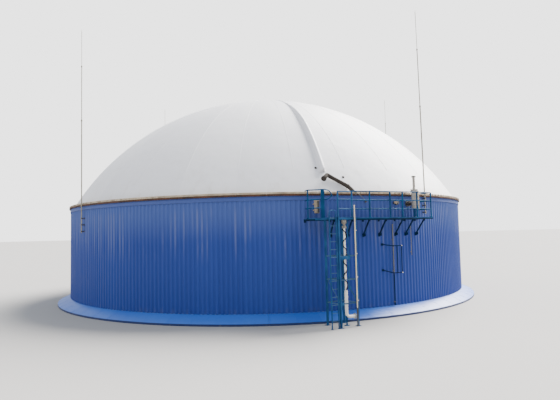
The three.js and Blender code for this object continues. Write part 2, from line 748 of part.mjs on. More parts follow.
// A bar frame with two posts that stands off the wall on two slanting arms
function buildStandoffFrame() {
  const [low, high] = STANDOFF_LEVELS;
  const point = (angle, z) => around(angle, STANDOFF_RADIUS, z);
  const pieces = STANDOFF_POSTS.map((angle) => bar(point(angle, low), point(angle, high), STANDOFF_TUBE));
  STANDOFF_LEVELS.forEach((z, i) => {
    const footZ = STANDOFF_FEET[i];
    const foot = around(STANDOFF_FOOT, WALL_OUTER - WALL_BITE, footZ);
    const elbow = around(STANDOFF_START, STANDOFF_RADIUS + STANDOFF_TUBE / 2, z);
    pieces.push(bar(foot, elbow, STANDOFF_TUBE));
    pieces.push(bar(point(STANDOFF_START - 0.05, z), point(STANDOFF_POSTS[1] + 0.08, z), STANDOFF_TUBE));
    pieces.push(wallBracket(STANDOFF_FOOT, WALL_OUTER + 45, 120, footZ - 50, footZ + 50));
  });
  addMesh("standoff_frame", fixedToWall(pieces), FINISH.teal);
}

// A thin line that runs from a clip on the rim down to a clip on the wall
function buildSenseLine() {
  const top = CLAMP_TOP - 20;
  const rimFace = RIM_RADIUS + GAP;
  const pieces = [
    bar(around(LINE_START, LINE_RADIUS, top), around(LINE_END, LINE_RADIUS, 5020), 14, 8),
    radialBox(LINE_START, (rimFace + LINE_RADIUS) / 2, LINE_RADIUS - rimFace, 36, top - 150, top),
    wallBracket(LINE_END, LINE_RADIUS + 20, 40, 5000, 5050),
  ];
  addMesh("sense_line", fixedToWall(pieces), FINISH.galvanised);
}

// A small instrument: two round heads over a body, on a short bracket behind the railing
function buildInstrument() {
  const angle = 29.0;
  const height = 4985;
  const heads = [angle - 0.3, angle + 0.3];
  const pieces = [
    wallBracket(angle, 12150, 50, height - 25, height + 25),
    radialBox(angle, 12170, 80, 110, height - 105, height),
    ...heads.map((turn) => bar(around(turn, 12120, height), around(turn, 12220, height), 60, 16)),
  ];
  addMesh("wall_instrument", fixedToWall(pieces), FINISH.galvanised);
}

// Each mast stands upright at its brackets and leans a little above them
function buildMasts() {
  for (const { side, angle, tip, foot } of MASTS) {
    const lean = (z) => angle + (tip - angle) * Math.max(0, (z - MAST_STRAIGHT) / (MAST_TIP - MAST_STRAIGHT));
    const tube = (low, high, thickness, sides) =>
      bar(around(lean(low), MAST_RADIUS, low), around(lean(high), MAST_RADIUS, high), thickness / 2, sides);
    const [first, second] = MAST_JOINTS;
    const pieces = [
      upright(angle, MAST_RADIUS, foot, MAST_STRAIGHT + 20, 60, 8),
      tube(MAST_STRAIGHT, first, 60, 8),
      tube(first - 60, second, 44, 8),
      tube(second - 60, MAST_TIP, 26, 6),
    ];
    for (const joint of MAST_JOINTS) pieces.push(tube(joint - 70, joint + 10, 84, 8));
    for (const z of [foot + 60, foot + 390, foot + 720]) {
      pieces.push(wallBracket(angle, MAST_RADIUS, 50, z, z + 40));
      pieces.push(wallBracket(angle, WALL_OUTER + 77, 80, z - 20, z + 60));
      pieces.push(radialBox(angle, MAST_RADIUS, 84, 84, z - 10, z + 50));
    }
    addMesh(`mast_${side}`, fixedToWall(pieces), FINISH.galvanised);
  }
}

buildBase();
buildWall();
buildRim();
buildDome();
const seat = domeTool();
addMesh("air_sleeve", fromSolid(sleeveBead(0).subtract(seat)), FINISH.membrane);
addMesh("air_pipe", fromSolid(airPipe().subtract(seat).subtract(sleeveBead(GAP))), FINISH.rubber);
buildPlatformFrame();
buildDeck();
buildRailings();
const tower = towerFrame();
buildTower(tower);
buildLanding(tower);
buildLandingRailing(tower);
buildLadder(tower);
buildControlBox();
buildValve();
buildRiser(tower);
buildCreamPipe(tower);
buildWallPipes();
buildStandoffFrame();
buildSenseLine();
buildInstrument();
buildMasts();

export default tank;
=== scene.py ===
"""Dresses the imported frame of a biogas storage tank: a ribbed blue wall under a membrane dome.

All lengths are in metres and all angles in degrees, counted from the front (-Y) towards +X.
"""

import logging
from collections.abc import Callable, Iterable, Iterator, Sequence
from contextlib import contextmanager
from dataclasses import dataclass, field
from enum import Enum
from itertools import pairwise
from math import asin, atan2, copysign, cos, degrees, hypot, pi, radians, sin, sqrt
from typing import ClassVar, TypeAlias

import bmesh
import bpy
from mathutils import Matrix, Vector


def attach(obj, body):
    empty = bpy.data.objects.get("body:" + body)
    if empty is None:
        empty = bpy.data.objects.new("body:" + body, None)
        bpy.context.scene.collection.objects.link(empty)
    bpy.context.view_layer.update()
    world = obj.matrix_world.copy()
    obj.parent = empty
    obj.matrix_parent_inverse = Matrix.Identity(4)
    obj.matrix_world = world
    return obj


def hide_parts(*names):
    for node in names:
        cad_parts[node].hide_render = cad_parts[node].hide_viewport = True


LOG = logging.getLogger("tank")
BODY = "root"
FULL_TURN = 360.0
WALL_FACE = 12.0
RAIL_RADIUS = 0.0238
POST_SIDE = 0.052
UP = Vector((0.0, 0.0, 1.0))
OUTWARDS = Matrix.Rotation(radians(90), 4, "X")
UPWARDS = Matrix.Rotation(radians(-90), 4, "X")
SIDEWAYS = Matrix.Rotation(radians(90), 4, "Y")
UPSIDE_DOWN = Matrix.Rotation(pi, 4, "X")
Place: TypeAlias = Matrix
Pair: TypeAlias = tuple[float, float]
Triple: TypeAlias = tuple[float, float, float]
Row: TypeAlias = tuple[float, ...]
Outline: TypeAlias = Sequence[Pair]
Number: TypeAlias = "float | Wire"


class Element(Enum):
    """What is picked in edit mode."""

    POINTS = "VERT"
    EDGES = "EDGE"
    FACES = "FACE"


# Places and directions


def around(angle: float, radius: float, height: float) -> Vector:
    """Give a point by its angle about the tank's axis, its distance from it and its height."""
    turn = radians(angle)
    return Vector((radius * sin(turn), -radius * cos(turn), height))


def turned(angle: float) -> Place:
    """Turn a part about the tank's axis."""
    return Matrix.Rotation(radians(angle), 4, "Z")


def on_wall(angle: float, radius: float, height: float = 0.0) -> Place:
    """Place a part that was modelled at the origin, facing -Y, so that it faces outwards."""
    return turned(angle) @ shifted(0.0, -radius, height)


def shifted(x: float, y: float, z: float) -> Place:
    """Move a part."""
    return Matrix.Translation((x, y, z))


def facing(place: Vector, out: Vector) -> Place:
    """Place a part that was modelled along +Z so that it looks in a direction."""
    return Matrix.Translation(place) @ out.to_track_quat("Z", "Y").to_matrix().to_4x4()


def between(start: Vector, end: Vector, side: Vector | None = None) -> Place:
    """Stretch a part of unit length, modelled along +Z, from one point to another.

    Args:
        start: Where its foot goes.
        end: Where its head goes.
        side: Where its own +X looks; upwards, or along X for an upright part, if not given.

    Returns:
        The place.
    """
    run = end - start
    along = run.normalized()
    if side is None:
        side = Vector((1.0, 0.0, 0.0)) if abs(along.z) > 0.9 else UP
    across = (side - along * side.dot(along)).normalized()
    turn = Matrix((across, along.cross(across), along)).transposed().to_4x4()
    return Matrix.Translation(start) @ turn @ Matrix.Diagonal((1.0, 1.0, run.length, 1.0))


# Modelling with Blender's own tools


class Part:
    """A mesh on the bench. It is shaped in edit mode, and copied or joined as an object."""

    patterns: ClassVar[list["Part"]] = []

    def __init__(self, thing: bpy.types.Object, name: str) -> None:
        """Take a new Blender object on the bench and name it."""
        self.thing = thing
        thing.name = thing.data.name = name

    @classmethod
    def new(cls, name: str, primitive: Callable[..., object], **sizes: float) -> "Part":
        """Add one of Blender's primitives, with nothing else selected.

        Args:
            name: The part's name.
            primitive: The operator that adds it.
            sizes: The operator's own arguments.

        Returns:
            The primitive.
        """
        bpy.ops.object.select_all(action="DESELECT")
        primitive(**sizes)
        return cls(bpy.context.active_object, name)

    @classmethod
    def line(cls, name: str, points: Sequence[Sequence[float]], closed: bool = False) -> "Part":
        """Draw a line by extruding one vertex from point to point.

        Args:
            name: The part's name.
            points: The line's points.
            closed: Whether the points bound a face.

        Returns:
            The line or the face.
        """
        part = cls.new(name, bpy.ops.mesh.primitive_plane_add)
        with part.editing():
            bpy.ops.mesh.merge(type="CENTER")
            bpy.ops.transform.translate(value=points[0])
            for start, end in pairwise(points):
                step = Vector(end) - Vector(start)
                bpy.ops.mesh.extrude_vertices_move(TRANSFORM_OT_translate={"value": step})
            if closed:
                bpy.ops.mesh.select_all(action="SELECT")
                bpy.ops.mesh.edge_face_add()
        return part

    @classmethod
    def block(cls, name: str, size: Sequence[float], centre: Sequence[float] = (0, 0, 0),
              ease: float = 0.0) -> "Part":
        """Start from a cube at its size and place.

        Args:
            name: The part's name.
            size: Its three sides.
            centre: Its middle.
            ease: Width of the bevel on its edges, 0 for none.

        Returns:
            The block.
        """
        part = cls.new(name, bpy.ops.mesh.primitive_cube_add, size=1.0)
        with part.editing():
            bpy.ops.transform.resize(value=size)
            bpy.ops.transform.translate(value=centre)
            if ease:
                bpy.ops.mesh.bevel(offset=ease, segments=2)
        return part

    @classmethod
    def drum(cls, name: str, radius: float, bottom: float, top: float, sides: int = 24,
             ease: float = 0.0) -> "Part":
        """Start from an upright cylinder on the Z axis.

        Args:
            name: The part's name.
            radius: Its radius.
            bottom: Height of its foot.
            top: Height of its head.
            sides: How many sides it has.
            ease: Width of the bevel on its rims, 0 for none.

        Returns:
            The cylinder.
        """
        add = bpy.ops.mesh.primitive_cylinder_add
        part = cls.new(name, add, vertices=sides, radius=radius, depth=top - bottom)
        with part.editing():
            bpy.ops.transform.translate(value=(0, 0, (top + bottom) / 2))
            if ease:
                part.pick(Element.EDGES, lambda a, b: abs(a.z - b.z) < 1e-6)
                bpy.ops.mesh.bevel(offset=ease)
        return part

    @classmethod
    def spun(cls, name: str, outline: Outline, angle: float, steps: int, closed: bool) -> "Part":
        """Spin an outline about the Z axis, from the front towards +X.

        Args:
            name: The part's name.
            outline: Radius and height of each point.
            angle: How far it is spun, in degrees.
            steps: How many steps the spin takes.
            closed: Whether the outline bounds a face.

        Returns:
            The spun part.
        """
        part = cls.line(name, [(0.0, -radius, height) for radius, height in outline], closed)
        with part.editing():
            part.spin(angle, steps)
            part.close()
        return part

    @classmethod
    def lathe(cls, name: str, outline: Outline, sides: int = 24) -> "Part":
        """Turn an outline that leads from the axis back to the axis."""
        return cls.spun(name, outline, FULL_TURN, sides, False)

    @classmethod
    def sweep(cls, name: str, outline: Outline, start: float, end: float, steps: int) -> "Part":
        """Sweep a closed outline about the tank's axis from one angle to another."""
        return cls.spun(name, outline, end - start, steps, True).settle(turned(start))

    @classmethod
    def tube(cls, name: str, points: Sequence[Vector], radius: float, sides: int) -> "Part":
        """Lay a round tube along points.

        Args:
            name: The part's name.
            points: The points of its centre line.
            radius: Its radius.
            sides: A multiple of four, how many sides it has.

        Returns:
            The tube with closed ends.
        """
        part = cls.line(name, points)
        select_only(part.thing)
        bpy.ops.object.convert(target="CURVE")
        part.thing.data.bevel_depth = radius
        part.thing.data.bevel_resolution = sides // 4 - 1
        part.thing.data.use_fill_caps = True
        bpy.ops.object.convert(target="MESH")
        with part.editing():
            part.close()
        return part

    @contextmanager
    def editing(self) -> Iterator[None]:
        """Edit the part, with all of it selected at first."""
        select_only(self.thing)
        bpy.ops.object.mode_set(mode="EDIT")
        bpy.ops.mesh.select_mode(type="VERT")
        bpy.ops.mesh.select_all(action="SELECT")
        try:
            yield
        finally:
            bpy.ops.object.mode_set(mode="OBJECT")

    def pick(self, element: Element, test: Callable[[Vector, Vector], bool]) -> None:
        """Select elements of the part in edit mode by a test, and nothing else.

        Args:
            element: What is picked.
            test: Takes a point's or face's place and normal, or an edge's two ends.
        """
        bpy.ops.mesh.select_mode(type=element.value)
        bpy.ops.mesh.select_all(action="DESELECT")
        shape = bmesh.from_edit_mesh(self.thing.data)
        if element is Element.POINTS:
            found = [point for point in shape.verts if test(point.co, point.normal)]
        elif element is Element.EDGES:
            found = [edge for edge in shape.edges if test(edge.verts[0].co, edge.verts[1].co)]
        else:
            found = [face for face in shape.faces if test(face.calc_center_median(), face.normal)]
        for item in found:
            item.select = True
        shape.select_flush_mode()
        bmesh.update_edit_mesh(self.thing.data)

    @staticmethod
    def extrude(rise: float) -> None:
        """Extrude what is selected upwards."""
        bpy.ops.mesh.extrude_region_move(TRANSFORM_OT_translate={"value": (0, 0, rise)})

    @staticmethod
    def close() -> None:
        """Merge doubles all over the part in edit mode, and turn its faces outwards."""
        bpy.ops.mesh.select_all(action="SELECT")
        bpy.ops.mesh.remove_doubles(threshold=1e-5)
        bpy.ops.mesh.normals_make_consistent(inside=False)

    @staticmethod
    def spin(angle: float, steps: int, copy: bool = False, axis: Triple = (0, 0, 1),
             centre: Triple = (0, 0, 0)) -> None:
        """Spin the whole part, or copies of it, a positive angle from the front towards +X."""
        bpy.ops.mesh.select_all(action="SELECT")
        bpy.ops.mesh.spin(steps=steps, dupli=copy, angle=-radians(angle), center=centre, axis=axis)

    def face_outwards(self, middle: Triple = (0, 0, 0)) -> "Part":
        """Turn the faces of an open shape away from a point.

        Args:
            middle: The point.

        Returns:
            The part itself.
        """
        balance = 0.0
        for face in self.thing.data.polygons:
            balance += face.normal.dot(face.center - Vector(middle)) * face.area
        if balance < 0:
            with self.editing():
                bpy.ops.mesh.flip_normals()
        return self

    def modified(self, kind: str, **settings: object) -> "Part":
        """Put a modifier on the part and apply it.

        Args:
            kind: The modifier's type.
            settings: Its settings.

        Returns:
            The part itself.
        """
        select_only(self.thing)
        modifier = self.thing.modifiers.new(kind.lower(), kind)
        for key, value in settings.items():
            setattr(modifier, key, value)
        bpy.ops.object.modifier_apply(modifier=modifier.name)
        return self

    def thicken(self, thickness: float) -> "Part":
        """Give a surface its thickness on the inner side."""
        return self.modified("SOLIDIFY", thickness=thickness, offset=-1.0)

    def settle(self, place: Place | None = None) -> "Part":
        """Put the object at the origin, with its place in its mesh.

        Args:
            place: Where it goes first, or None to leave it.

        Returns:
            The part itself.
        """
        if place is not None:
            self.thing.matrix_world = place
        select_only(self.thing)
        bpy.ops.object.transform_apply()
        return self

    def dressed(self, material: bpy.types.Material) -> "Part":
        """Give the whole part one material."""
        self.thing.data.materials.clear()
        self.thing.data.materials.append(material)
        return self

    def joined(self, others: Iterable["Part"]) -> "Part":
        """Join other parts to this one."""
        select_only(*[other.thing for other in others], self.thing)
        bpy.ops.object.join()
        return self

    def copied(self, name: str, place: Place) -> "Part":
        """Copy the part with its own mesh, and put the copy somewhere.

        Args:
            name: The copy's name.
            place: Where it goes.

        Returns:
            The copy, its place not yet in its mesh.
        """
        if self not in Part.patterns:
            Part.patterns.append(self)
        thing = self.thing.copy()
        thing.data = self.thing.data.copy()
        bpy.context.scene.collection.objects.link(thing)
        thing.matrix_world = place @ self.thing.matrix_world
        return Part(thing, name)

    def discard(self) -> None:
        """Take the part off the bench."""
        bpy.data.meshes.remove(self.thing.data)

    @classmethod
    def clear_bench(cls) -> None:
        """Take off every part that copies were made of."""
        for pattern in cls.patterns:
            pattern.discard()


def select_only(*things: bpy.types.Object) -> None:
    """Select these objects and nothing else, the last one active."""
    bpy.ops.object.select_all(action="DESELECT")
    for thing in things:
        thing.select_set(True)
    bpy.context.view_layer.objects.active = things[-1]


def circle(radius: float, height: float, size: float, sides: int = 10) -> list[Pair]:
    """Give the outline of a round bar, of its own size, that is swept about the tank's axis."""
    turns = [2 * pi * (i + 0.5) / sides for i in range(sides)]
    return [(radius + size * cos(turn), height + size * sin(turn)) for turn in turns]


def smooth_path(points: Sequence[Sequence[float]], steps: int) -> list[Vector]:
    """Round a path through its points.

    Args:
        points: The path's points.
        steps: How many short runs each stretch gets.

    Returns:
        The points of the rounded path.
    """
    knots = [Vector(point) for point in points]
    padded = [2 * knots[0] - knots[1], *knots, 2 * knots[-1] - knots[-2]]
    path = [knots[0]]
    for before, start, end, after in zip(padded, padded[1:], padded[2:], padded[3:]):
        for i in range(1, steps + 1):
            t = i / steps
            path.append(0.5 * (
                2 * start + (end - before) * t
                + (2 * before - 5 * start + 4 * end - after) * t**2
                + (3 * start - before - 3 * end + after) * t**3
            ))
    return path


@dataclass
class Assembly:
    """Parts that become one named piece of the tank, placed in a frame of its own."""

    name: str
    slot: str
    material: bpy.types.Material
    frame: Place = field(default_factory=lambda: Matrix.Identity(4))
    parts: list[Part] = field(default_factory=list)

    def add(self, part: Part, *places: Place) -> None:
        """Add a part as it is, or copies of it at places.

        Args:
            part: The part. It stays on the bench when copies are made of it.
            places: Where the copies go.
        """
        bare = not part.thing.data.materials
        if not places:
            part.thing.matrix_world = self.frame @ part.thing.matrix_world
        copies = [part.copied(self.name, self.frame @ place) for place in places] or [part]
        self.parts += [copy.dressed(self.material) if bare else copy for copy in copies]

    def bar(self, pattern: Part, start: Sequence[float], end: Sequence[float]) -> None:
        """Add a bar from one point to another, a copy of a pattern of unit length."""
        self.add(pattern, between(Vector(start), Vector(end)))

    def finish(self, *nodes: str, smooth: float = 35.0) -> None:
        """Join the parts, settle the piece and hand it to the frame.

        Args:
            nodes: The CAD nodes that it stands for.
            smooth: Edges below this angle are shaded smooth.
        """
        things = [part.thing for part in self.parts]
        select_only(*things)
        if len(things) > 1:
            bpy.ops.object.join()
        piece = Part(bpy.context.active_object, self.name).settle().thing
        bpy.ops.object.shade_smooth_by_angle(angle=radians(smooth))
        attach(piece, BODY)
        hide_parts(*nodes)
        LOG.info("%s: %d faces", self.name, len(piece.data.polygons))


# Shader nodes


@dataclass(frozen=True)
class Wire:
    """A socket in an expression: what is added to it or multiplied by it becomes a node."""

    graph: "Graph"
    socket: bpy.types.NodeSocket

    def maths(self, operation: str, *values: Number) -> "Wire":
        """Add a Math node on values."""
        return self.graph.wire("Math", {"operation": operation}, dict(enumerate(values)))

    def __add__(self, other: Number) -> "Wire":
        """Add."""
        return self.maths("ADD", self, other)

    __radd__ = __add__

    def __mul__(self, other: Number) -> "Wire":
        """Multiply."""
        return self.maths("MULTIPLY", self, other)

    __rmul__ = __mul__

    def __sub__(self, other: Number) -> "Wire":
        """Subtract."""
        return self.maths("SUBTRACT", self, other)

    def __rsub__(self, other: Number) -> "Wire":
        """Subtract from a number."""
        return self.maths("SUBTRACT", other, self)

    def __truediv__(self, other: Number) -> "Wire":
        """Divide."""
        return self.maths("DIVIDE", self, other)

    def ramp(self, low: float, high: float) -> "Wire":
        """Rise smoothly from 0 at one value to 1 at another."""
        return self.graph.wire("MapRange", {"interpolation_type": "SMOOTHSTEP"},
                               {"Value": self, "From Min": low, "From Max": high})


Colour: TypeAlias = "Triple | Wire"


class Graph:
    """The node tree of one material, read on Object coordinates."""

    def __init__(self, name: str) -> None:
        """Start an empty node tree.

        Args:
            name: The material's name.
        """
        self.material = bpy.data.materials.new(name)
        self.material.use_nodes = True
        self.tree = self.material.node_tree
        self.tree.nodes.clear()
        place = self.add("TexCoord", {}, {})
        self.place = Wire(self, place.outputs["Object"])
        axes = self.add("SeparateXYZ", {}, {0: self.place})
        self.x, self.y, self.z = (Wire(self, socket) for socket in axes.outputs)

    def add(self, kind: str, settings: dict[str, object],
            sockets: dict[str | int, object]) -> bpy.types.Node:
        """Add a node, set it up and fill its sockets.

        Args:
            kind: The node's type, without its first words.
            settings: Its settings.
            sockets: Values or wires by socket name or number.

        Returns:
            The node.
        """
        node = self.tree.nodes.new("ShaderNode" + kind)
        for key, value in settings.items():
            setattr(node, key, value)
        for key, value in sockets.items():
            if isinstance(value, Wire):
                self.tree.links.new(value.socket, node.inputs[key])
            elif isinstance(value, tuple) and len(value) == 3 and node.inputs[key].type == "RGBA":
                node.inputs[key].default_value = (*value, 1.0)
            else:
                node.inputs[key].default_value = value
        return node

    def wire(self, kind: str, settings: dict[str, object], sockets: dict[str | int, object],
             output: str | int = 0) -> Wire:
        """Add a node and give one of its outputs."""
        return Wire(self, self.add(kind, settings, sockets).outputs[output])

    def angle(self) -> Wire:
        """Give the angle about the tank's axis, in degrees from the front."""
        turn = self.x.maths("ARCTAN2", self.x, 0.0 - self.y)
        return turn * (180.0 / pi)

    def noise(self, scale: float, detail: float = 2.0, stretch: Triple = (1.0, 1.0, 1.0),
              roughness: float = 0.5) -> Wire:
        """Give noise between 0 and 1.

        Args:
            scale: How fine it is.
            detail: How many finer layers are laid over it.
            stretch: Factors on the place's axes before it is read.
            roughness: How strong the finer layers are.

        Returns:
            The noise.
        """
        place = self.wire("Mapping", {}, {"Vector": self.place, "Scale": stretch})
        return self.wire("TexNoise", {}, {
            "Vector": place, "Scale": scale, "Detail": detail, "Roughness": roughness})

    def cells(self, scale: float) -> Wire:
        """Give a random value between 0 and 1 for each cell of a fine mosaic."""
        mosaic = self.wire("TexVoronoi", {}, {"Vector": self.place, "Scale": scale}, "Color")
        return self.wire("SeparateColor", {}, {0: mosaic})

    def steps(self, value: Wire, seed: float) -> Wire:
        """Give a random value between 0 and 1 for each whole number of a value."""
        return self.wire("TexWhiteNoise", {"noise_dimensions": "1D"},
                         {"W": value.maths("FLOOR", value) + seed}, "Value")

    def mix(self, share: Number, first: Colour, second: Colour) -> Wire:
        """Mix two colours, the share being how much of the second shows."""
        sockets = {0: share, 6: first, 7: second}
        return self.wire("Mix", {"data_type": "RGBA"}, sockets, 2)

    def bump(self, *layers: tuple[Wire, float]) -> Wire:
        """Turn heights into a bent normal.

        Args:
            layers: Each height, between 0 and 1, and what 1 stands for in metres, lowest first.

        Returns:
            The normal.
        """
        under = {}
        for height, depth in layers:
            normal = self.wire("Bump", {}, {"Height": height, "Distance": depth, **under})
            under = {"Normal": normal}
        return normal

    def surface(self, **sockets: object) -> bpy.types.Material:
        """Close the graph with a Principled shader.

        Args:
            sockets: Values or wires by socket name, with _ for a space.

        Returns:
            The material.
        """
        named = {key.replace("_", " "): value for key, value in sockets.items()}
        shader = self.wire("BsdfPrincipled", {}, named)
        self.add("OutputMaterial", {}, {"Surface": shader})
        return self.material


# Finishes


@dataclass(frozen=True)
class CladdingPaint:
    """Glossy blue coil paint on ribbed sheet: streaked by weather and dusty low, with painted light and
    shade: rib crests lighter than the valleys, and the upper part lighter and chalky, partly from weather and
    partly painted sky reflection.
    """

    name: str = "cladding_paint"
    deep: Triple = (0.016, 0.036, 0.19)
    bright: Triple = (0.025, 0.057, 0.255)
    # The streaks' tone: chalked paint and painted sky reflection.
    chalk_and_sheen: Triple = (0.1, 0.124, 0.28)
    # The upper wall's tone: faded paint and painted sky reflection.
    bleached_and_sky_lit: Triple = (0.066, 0.108, 0.29)
    dust: Triple = (0.15, 0.15, 0.16)
    roughness: float = 0.56

    def material(self) -> bpy.types.Material:
        """Build the node tree."""
        graph = Graph(self.name)
        angle = graph.angle()
        share = angle.maths("FRACT", angle)
        crest = share.ramp(0.36, 0.5) * (1.0 - share.ramp(0.8, 0.94))
        rib = graph.steps(angle, 7.0)
        sheet = graph.steps(angle / 5.0, 3.0)
        clouds = graph.noise(0.35, 3.0)
        streaks = graph.noise(6.0, 3.0, (1.0, 1.0, 0.05), 0.6)
        runs = graph.noise(14.0, 2.0, (1.0, 1.0, 0.03))
        # The crest term makes the rib crests lighter than the valleys: painted light and shade. The sheet,
        # rib, cloud and streak terms are real tone.
        tone = sheet * 0.25 + clouds * 0.25 + streaks * 0.2 + crest * 0.2 + rib * 0.1
        colour = graph.mix(tone, self.deep, self.bright)
        # Lighter towards the top: fading of the paint plus painted sky reflection.
        colour = graph.mix(graph.z.ramp(3.2, 4.8) * 0.6, colour, self.bleached_and_sky_lit)
        # Chalky streaks high up on the rib crests: real chalking plus painted sky reflection.
        high = graph.z.ramp(2.3, 3.7) * (1.0 - graph.z.ramp(4.6, 5.05))
        faded = (streaks * 0.6 + rib * 0.4).ramp(0.42, 0.62) * high * clouds.ramp(0.34, 0.58) * crest
        colour = graph.mix(faded * 0.75, colour, self.chalk_and_sheen)
        low = 1.0 - graph.z.ramp(0.4, 0.7)
        dusty = low * streaks.ramp(0.45, 0.7) * 0.16 + runs.ramp(0.6, 0.8) * 0.05
        colour = graph.mix(dusty, colour, self.dust)
        dents = graph.noise(0.9, 1.0, (1.0, 1.0, 0.5))
        grain = graph.noise(40.0, 2.0)
        rough = self.roughness + dusty * 0.4 + faded * 0.12
        return graph.surface(Base_Color=colour, Roughness=rough, Specular_IOR_Level=0.15,
                             Normal=graph.bump((dents, 0.02), (grain, 0.0006)))


@dataclass(frozen=True)
class SkirtPaint:
    """The lighter, dusty blue of the sloped base sheets, splashed along their lower edge, with painted shade
    on their vertical lower face.
    """

    blue: Triple = (0.012, 0.09, 0.42)
    pale: Triple = (0.03, 0.13, 0.48)
    # The colour of the painted shade on the vertical lower face.
    edge: Triple = (0.003, 0.018, 0.095)
    mud: Triple = (0.2, 0.17, 0.13)

    def material(self) -> bpy.types.Material:
        """Build the node tree."""
        graph = Graph("skirt_paint")
        sheet = graph.steps(graph.angle() / 5.0, 11.0)
        clouds = graph.noise(0.8, 4.0)
        wipes = graph.noise(5.0, 4.0, (1.0, 1.0, 0.4), 0.65)
        colour = graph.mix(sheet * 0.4 + clouds * 0.5, self.blue, self.pale)
        # Darken the vertical lower face: painted shade.
        colour = graph.mix(1.0 - graph.z.ramp(0.085, 0.1), colour, self.edge)
        low = 1.0 - graph.z.ramp(0.0, 0.1)
        splashed = low * wipes.ramp(0.5, 0.75) * 0.3 + wipes.ramp(0.62, 0.82) * 0.12
        colour = graph.mix(splashed, colour, self.mud)
        normal = graph.bump((graph.noise(2.0, 2.0), 0.012), (graph.noise(60.0, 2.0), 0.0005))
        return graph.surface(Base_Color=colour, Roughness=0.42 + splashed * 0.4, Normal=normal)


@dataclass(frozen=True)
class Rust:
    """Bare steel rusted through: dark and orange patches, runs and a scaly skin."""

    dark: Triple = (0.02, 0.009, 0.006)
    brown: Triple = (0.06, 0.022, 0.01)
    orange: Triple = (0.17, 0.065, 0.02)

    def material(self) -> bpy.types.Material:
        """Build the node tree."""
        graph = Graph("rusted_steel")
        patches = graph.noise(1.3, 5.0)
        fine = graph.noise(22.0, 5.0)
        colour = graph.mix(patches.ramp(0.35, 0.6), self.dark, self.brown)
        colour = graph.mix(fine.ramp(0.5, 0.72) * 0.8, colour, self.orange)
        rough = 0.72 + fine * 0.25
        return graph.surface(Base_Color=colour, Roughness=rough, Normal=graph.bump((fine, 0.004)))


@dataclass(frozen=True)
class DullSteel:
    """Galvanised or grey steel that has gone dull, with stains of dust and rust."""

    name: str
    light: Triple
    dark: Triple
    stain: Triple
    stained: float
    metal: float

    def material(self) -> bpy.types.Material:
        """Build the node tree."""
        graph = Graph(self.name)
        spangle = graph.cells(38.0)
        clouds = graph.noise(3.5, 4.0)
        colour = graph.mix(clouds.ramp(0.3, 0.7) * 0.7 + spangle * 0.3, self.dark, self.light)
        spots = graph.noise(1.6, 5.0, (1.0, 1.0, 0.6), 0.6)
        dirty = spots.ramp(0.62 - 0.2 * self.stained, 0.74)
        colour = graph.mix(dirty * self.stained, colour, self.stain)
        return graph.surface(Base_Color=colour, Metallic=self.metal * (1.0 - dirty * 0.7),
                             Roughness=0.42 + spangle * 0.16 + dirty * 0.25,
                             Normal=graph.bump((graph.noise(70.0, 3.0), 0.0008)))


@dataclass(frozen=True)
class Membrane:
    """Coated off-white fabric under pressure: matt, with dust that thins out towards the top, and painted
    shade that darkens its left side.
    """

    clean: Triple = (0.87, 0.86, 0.85)
    # The aged tone, made bluer as it also stands for painted shade.
    aged_and_shaded: Triple = (0.58, 0.58, 0.615)
    dust: Triple = (0.45, 0.42, 0.38)

    def material(self) -> bpy.types.Material:
        """Build the node tree."""
        graph = Graph("dome_membrane")
        strip = graph.steps(graph.angle() / (FULL_TURN / 28) + 0.5, 5.0)
        clouds = graph.noise(0.25, 4.0)
        runs = graph.noise(2.2, 4.0, (1.0, 1.0, 0.25), 0.6)
        # Darker and bluer towards the left: painted shade.
        painted_shade_side = 1.0 - graph.angle().ramp(12.0, 50.0)
        colour = graph.mix(strip * 0.15 + clouds * 0.35 + painted_shade_side * 0.4, self.clean, self.aged_and_shaded)
        # Low on the left the dust is heavier: dust runs plus a painted warm tint of light bounced from the
        # ground.
        low = (1.0 - graph.z.ramp(5.4, 8.5)) * painted_shade_side
        dusty = runs.ramp(0.5, 0.8) * (0.06 + low * 0.28) + (1.0 - graph.z.ramp(5.4, 5.9)) * 0.25
        colour = graph.mix(dusty, colour, self.dust)
        creases = graph.noise(1.1, 2.0)
        weave = graph.noise(420.0, 1.0)
        return graph.surface(Base_Color=colour, Roughness=0.5 + dusty * 0.5, Specular_IOR_Level=0.35,
                             Normal=graph.bump((creases, 0.02), (weave, 0.0003)))


@dataclass(frozen=True)
class WornPaint:
    """Brushed or sprayed paint on steel, with dust on it and rust where it has chipped."""

    name: str
    coat: Triple
    faded: Triple
    chip: Triple
    chipped: float
    roughness: float
    shine: float = 0.25

    def material(self) -> bpy.types.Material:
        """Build the node tree."""
        graph = Graph(self.name)
        clouds = graph.noise(1.8, 4.0)
        brush = graph.noise(30.0, 3.0, (1.0, 1.0, 0.2))
        colour = graph.mix(clouds.ramp(0.3, 0.7), self.coat, self.faded)
        spots = graph.noise(16.0, 6.0, roughness=0.7)
        bare = spots.ramp(0.76 - 0.2 * self.chipped, 0.8 - 0.18 * self.chipped)
        colour = graph.mix(bare, colour, self.chip)
        normal = graph.bump((brush, 0.0008), (1.0 - bare, 0.0006))
        return graph.surface(Base_Color=colour, Roughness=self.roughness + bare * 0.3 + brush * 0.1,
                             Normal=normal, Specular_IOR_Level=self.shine)


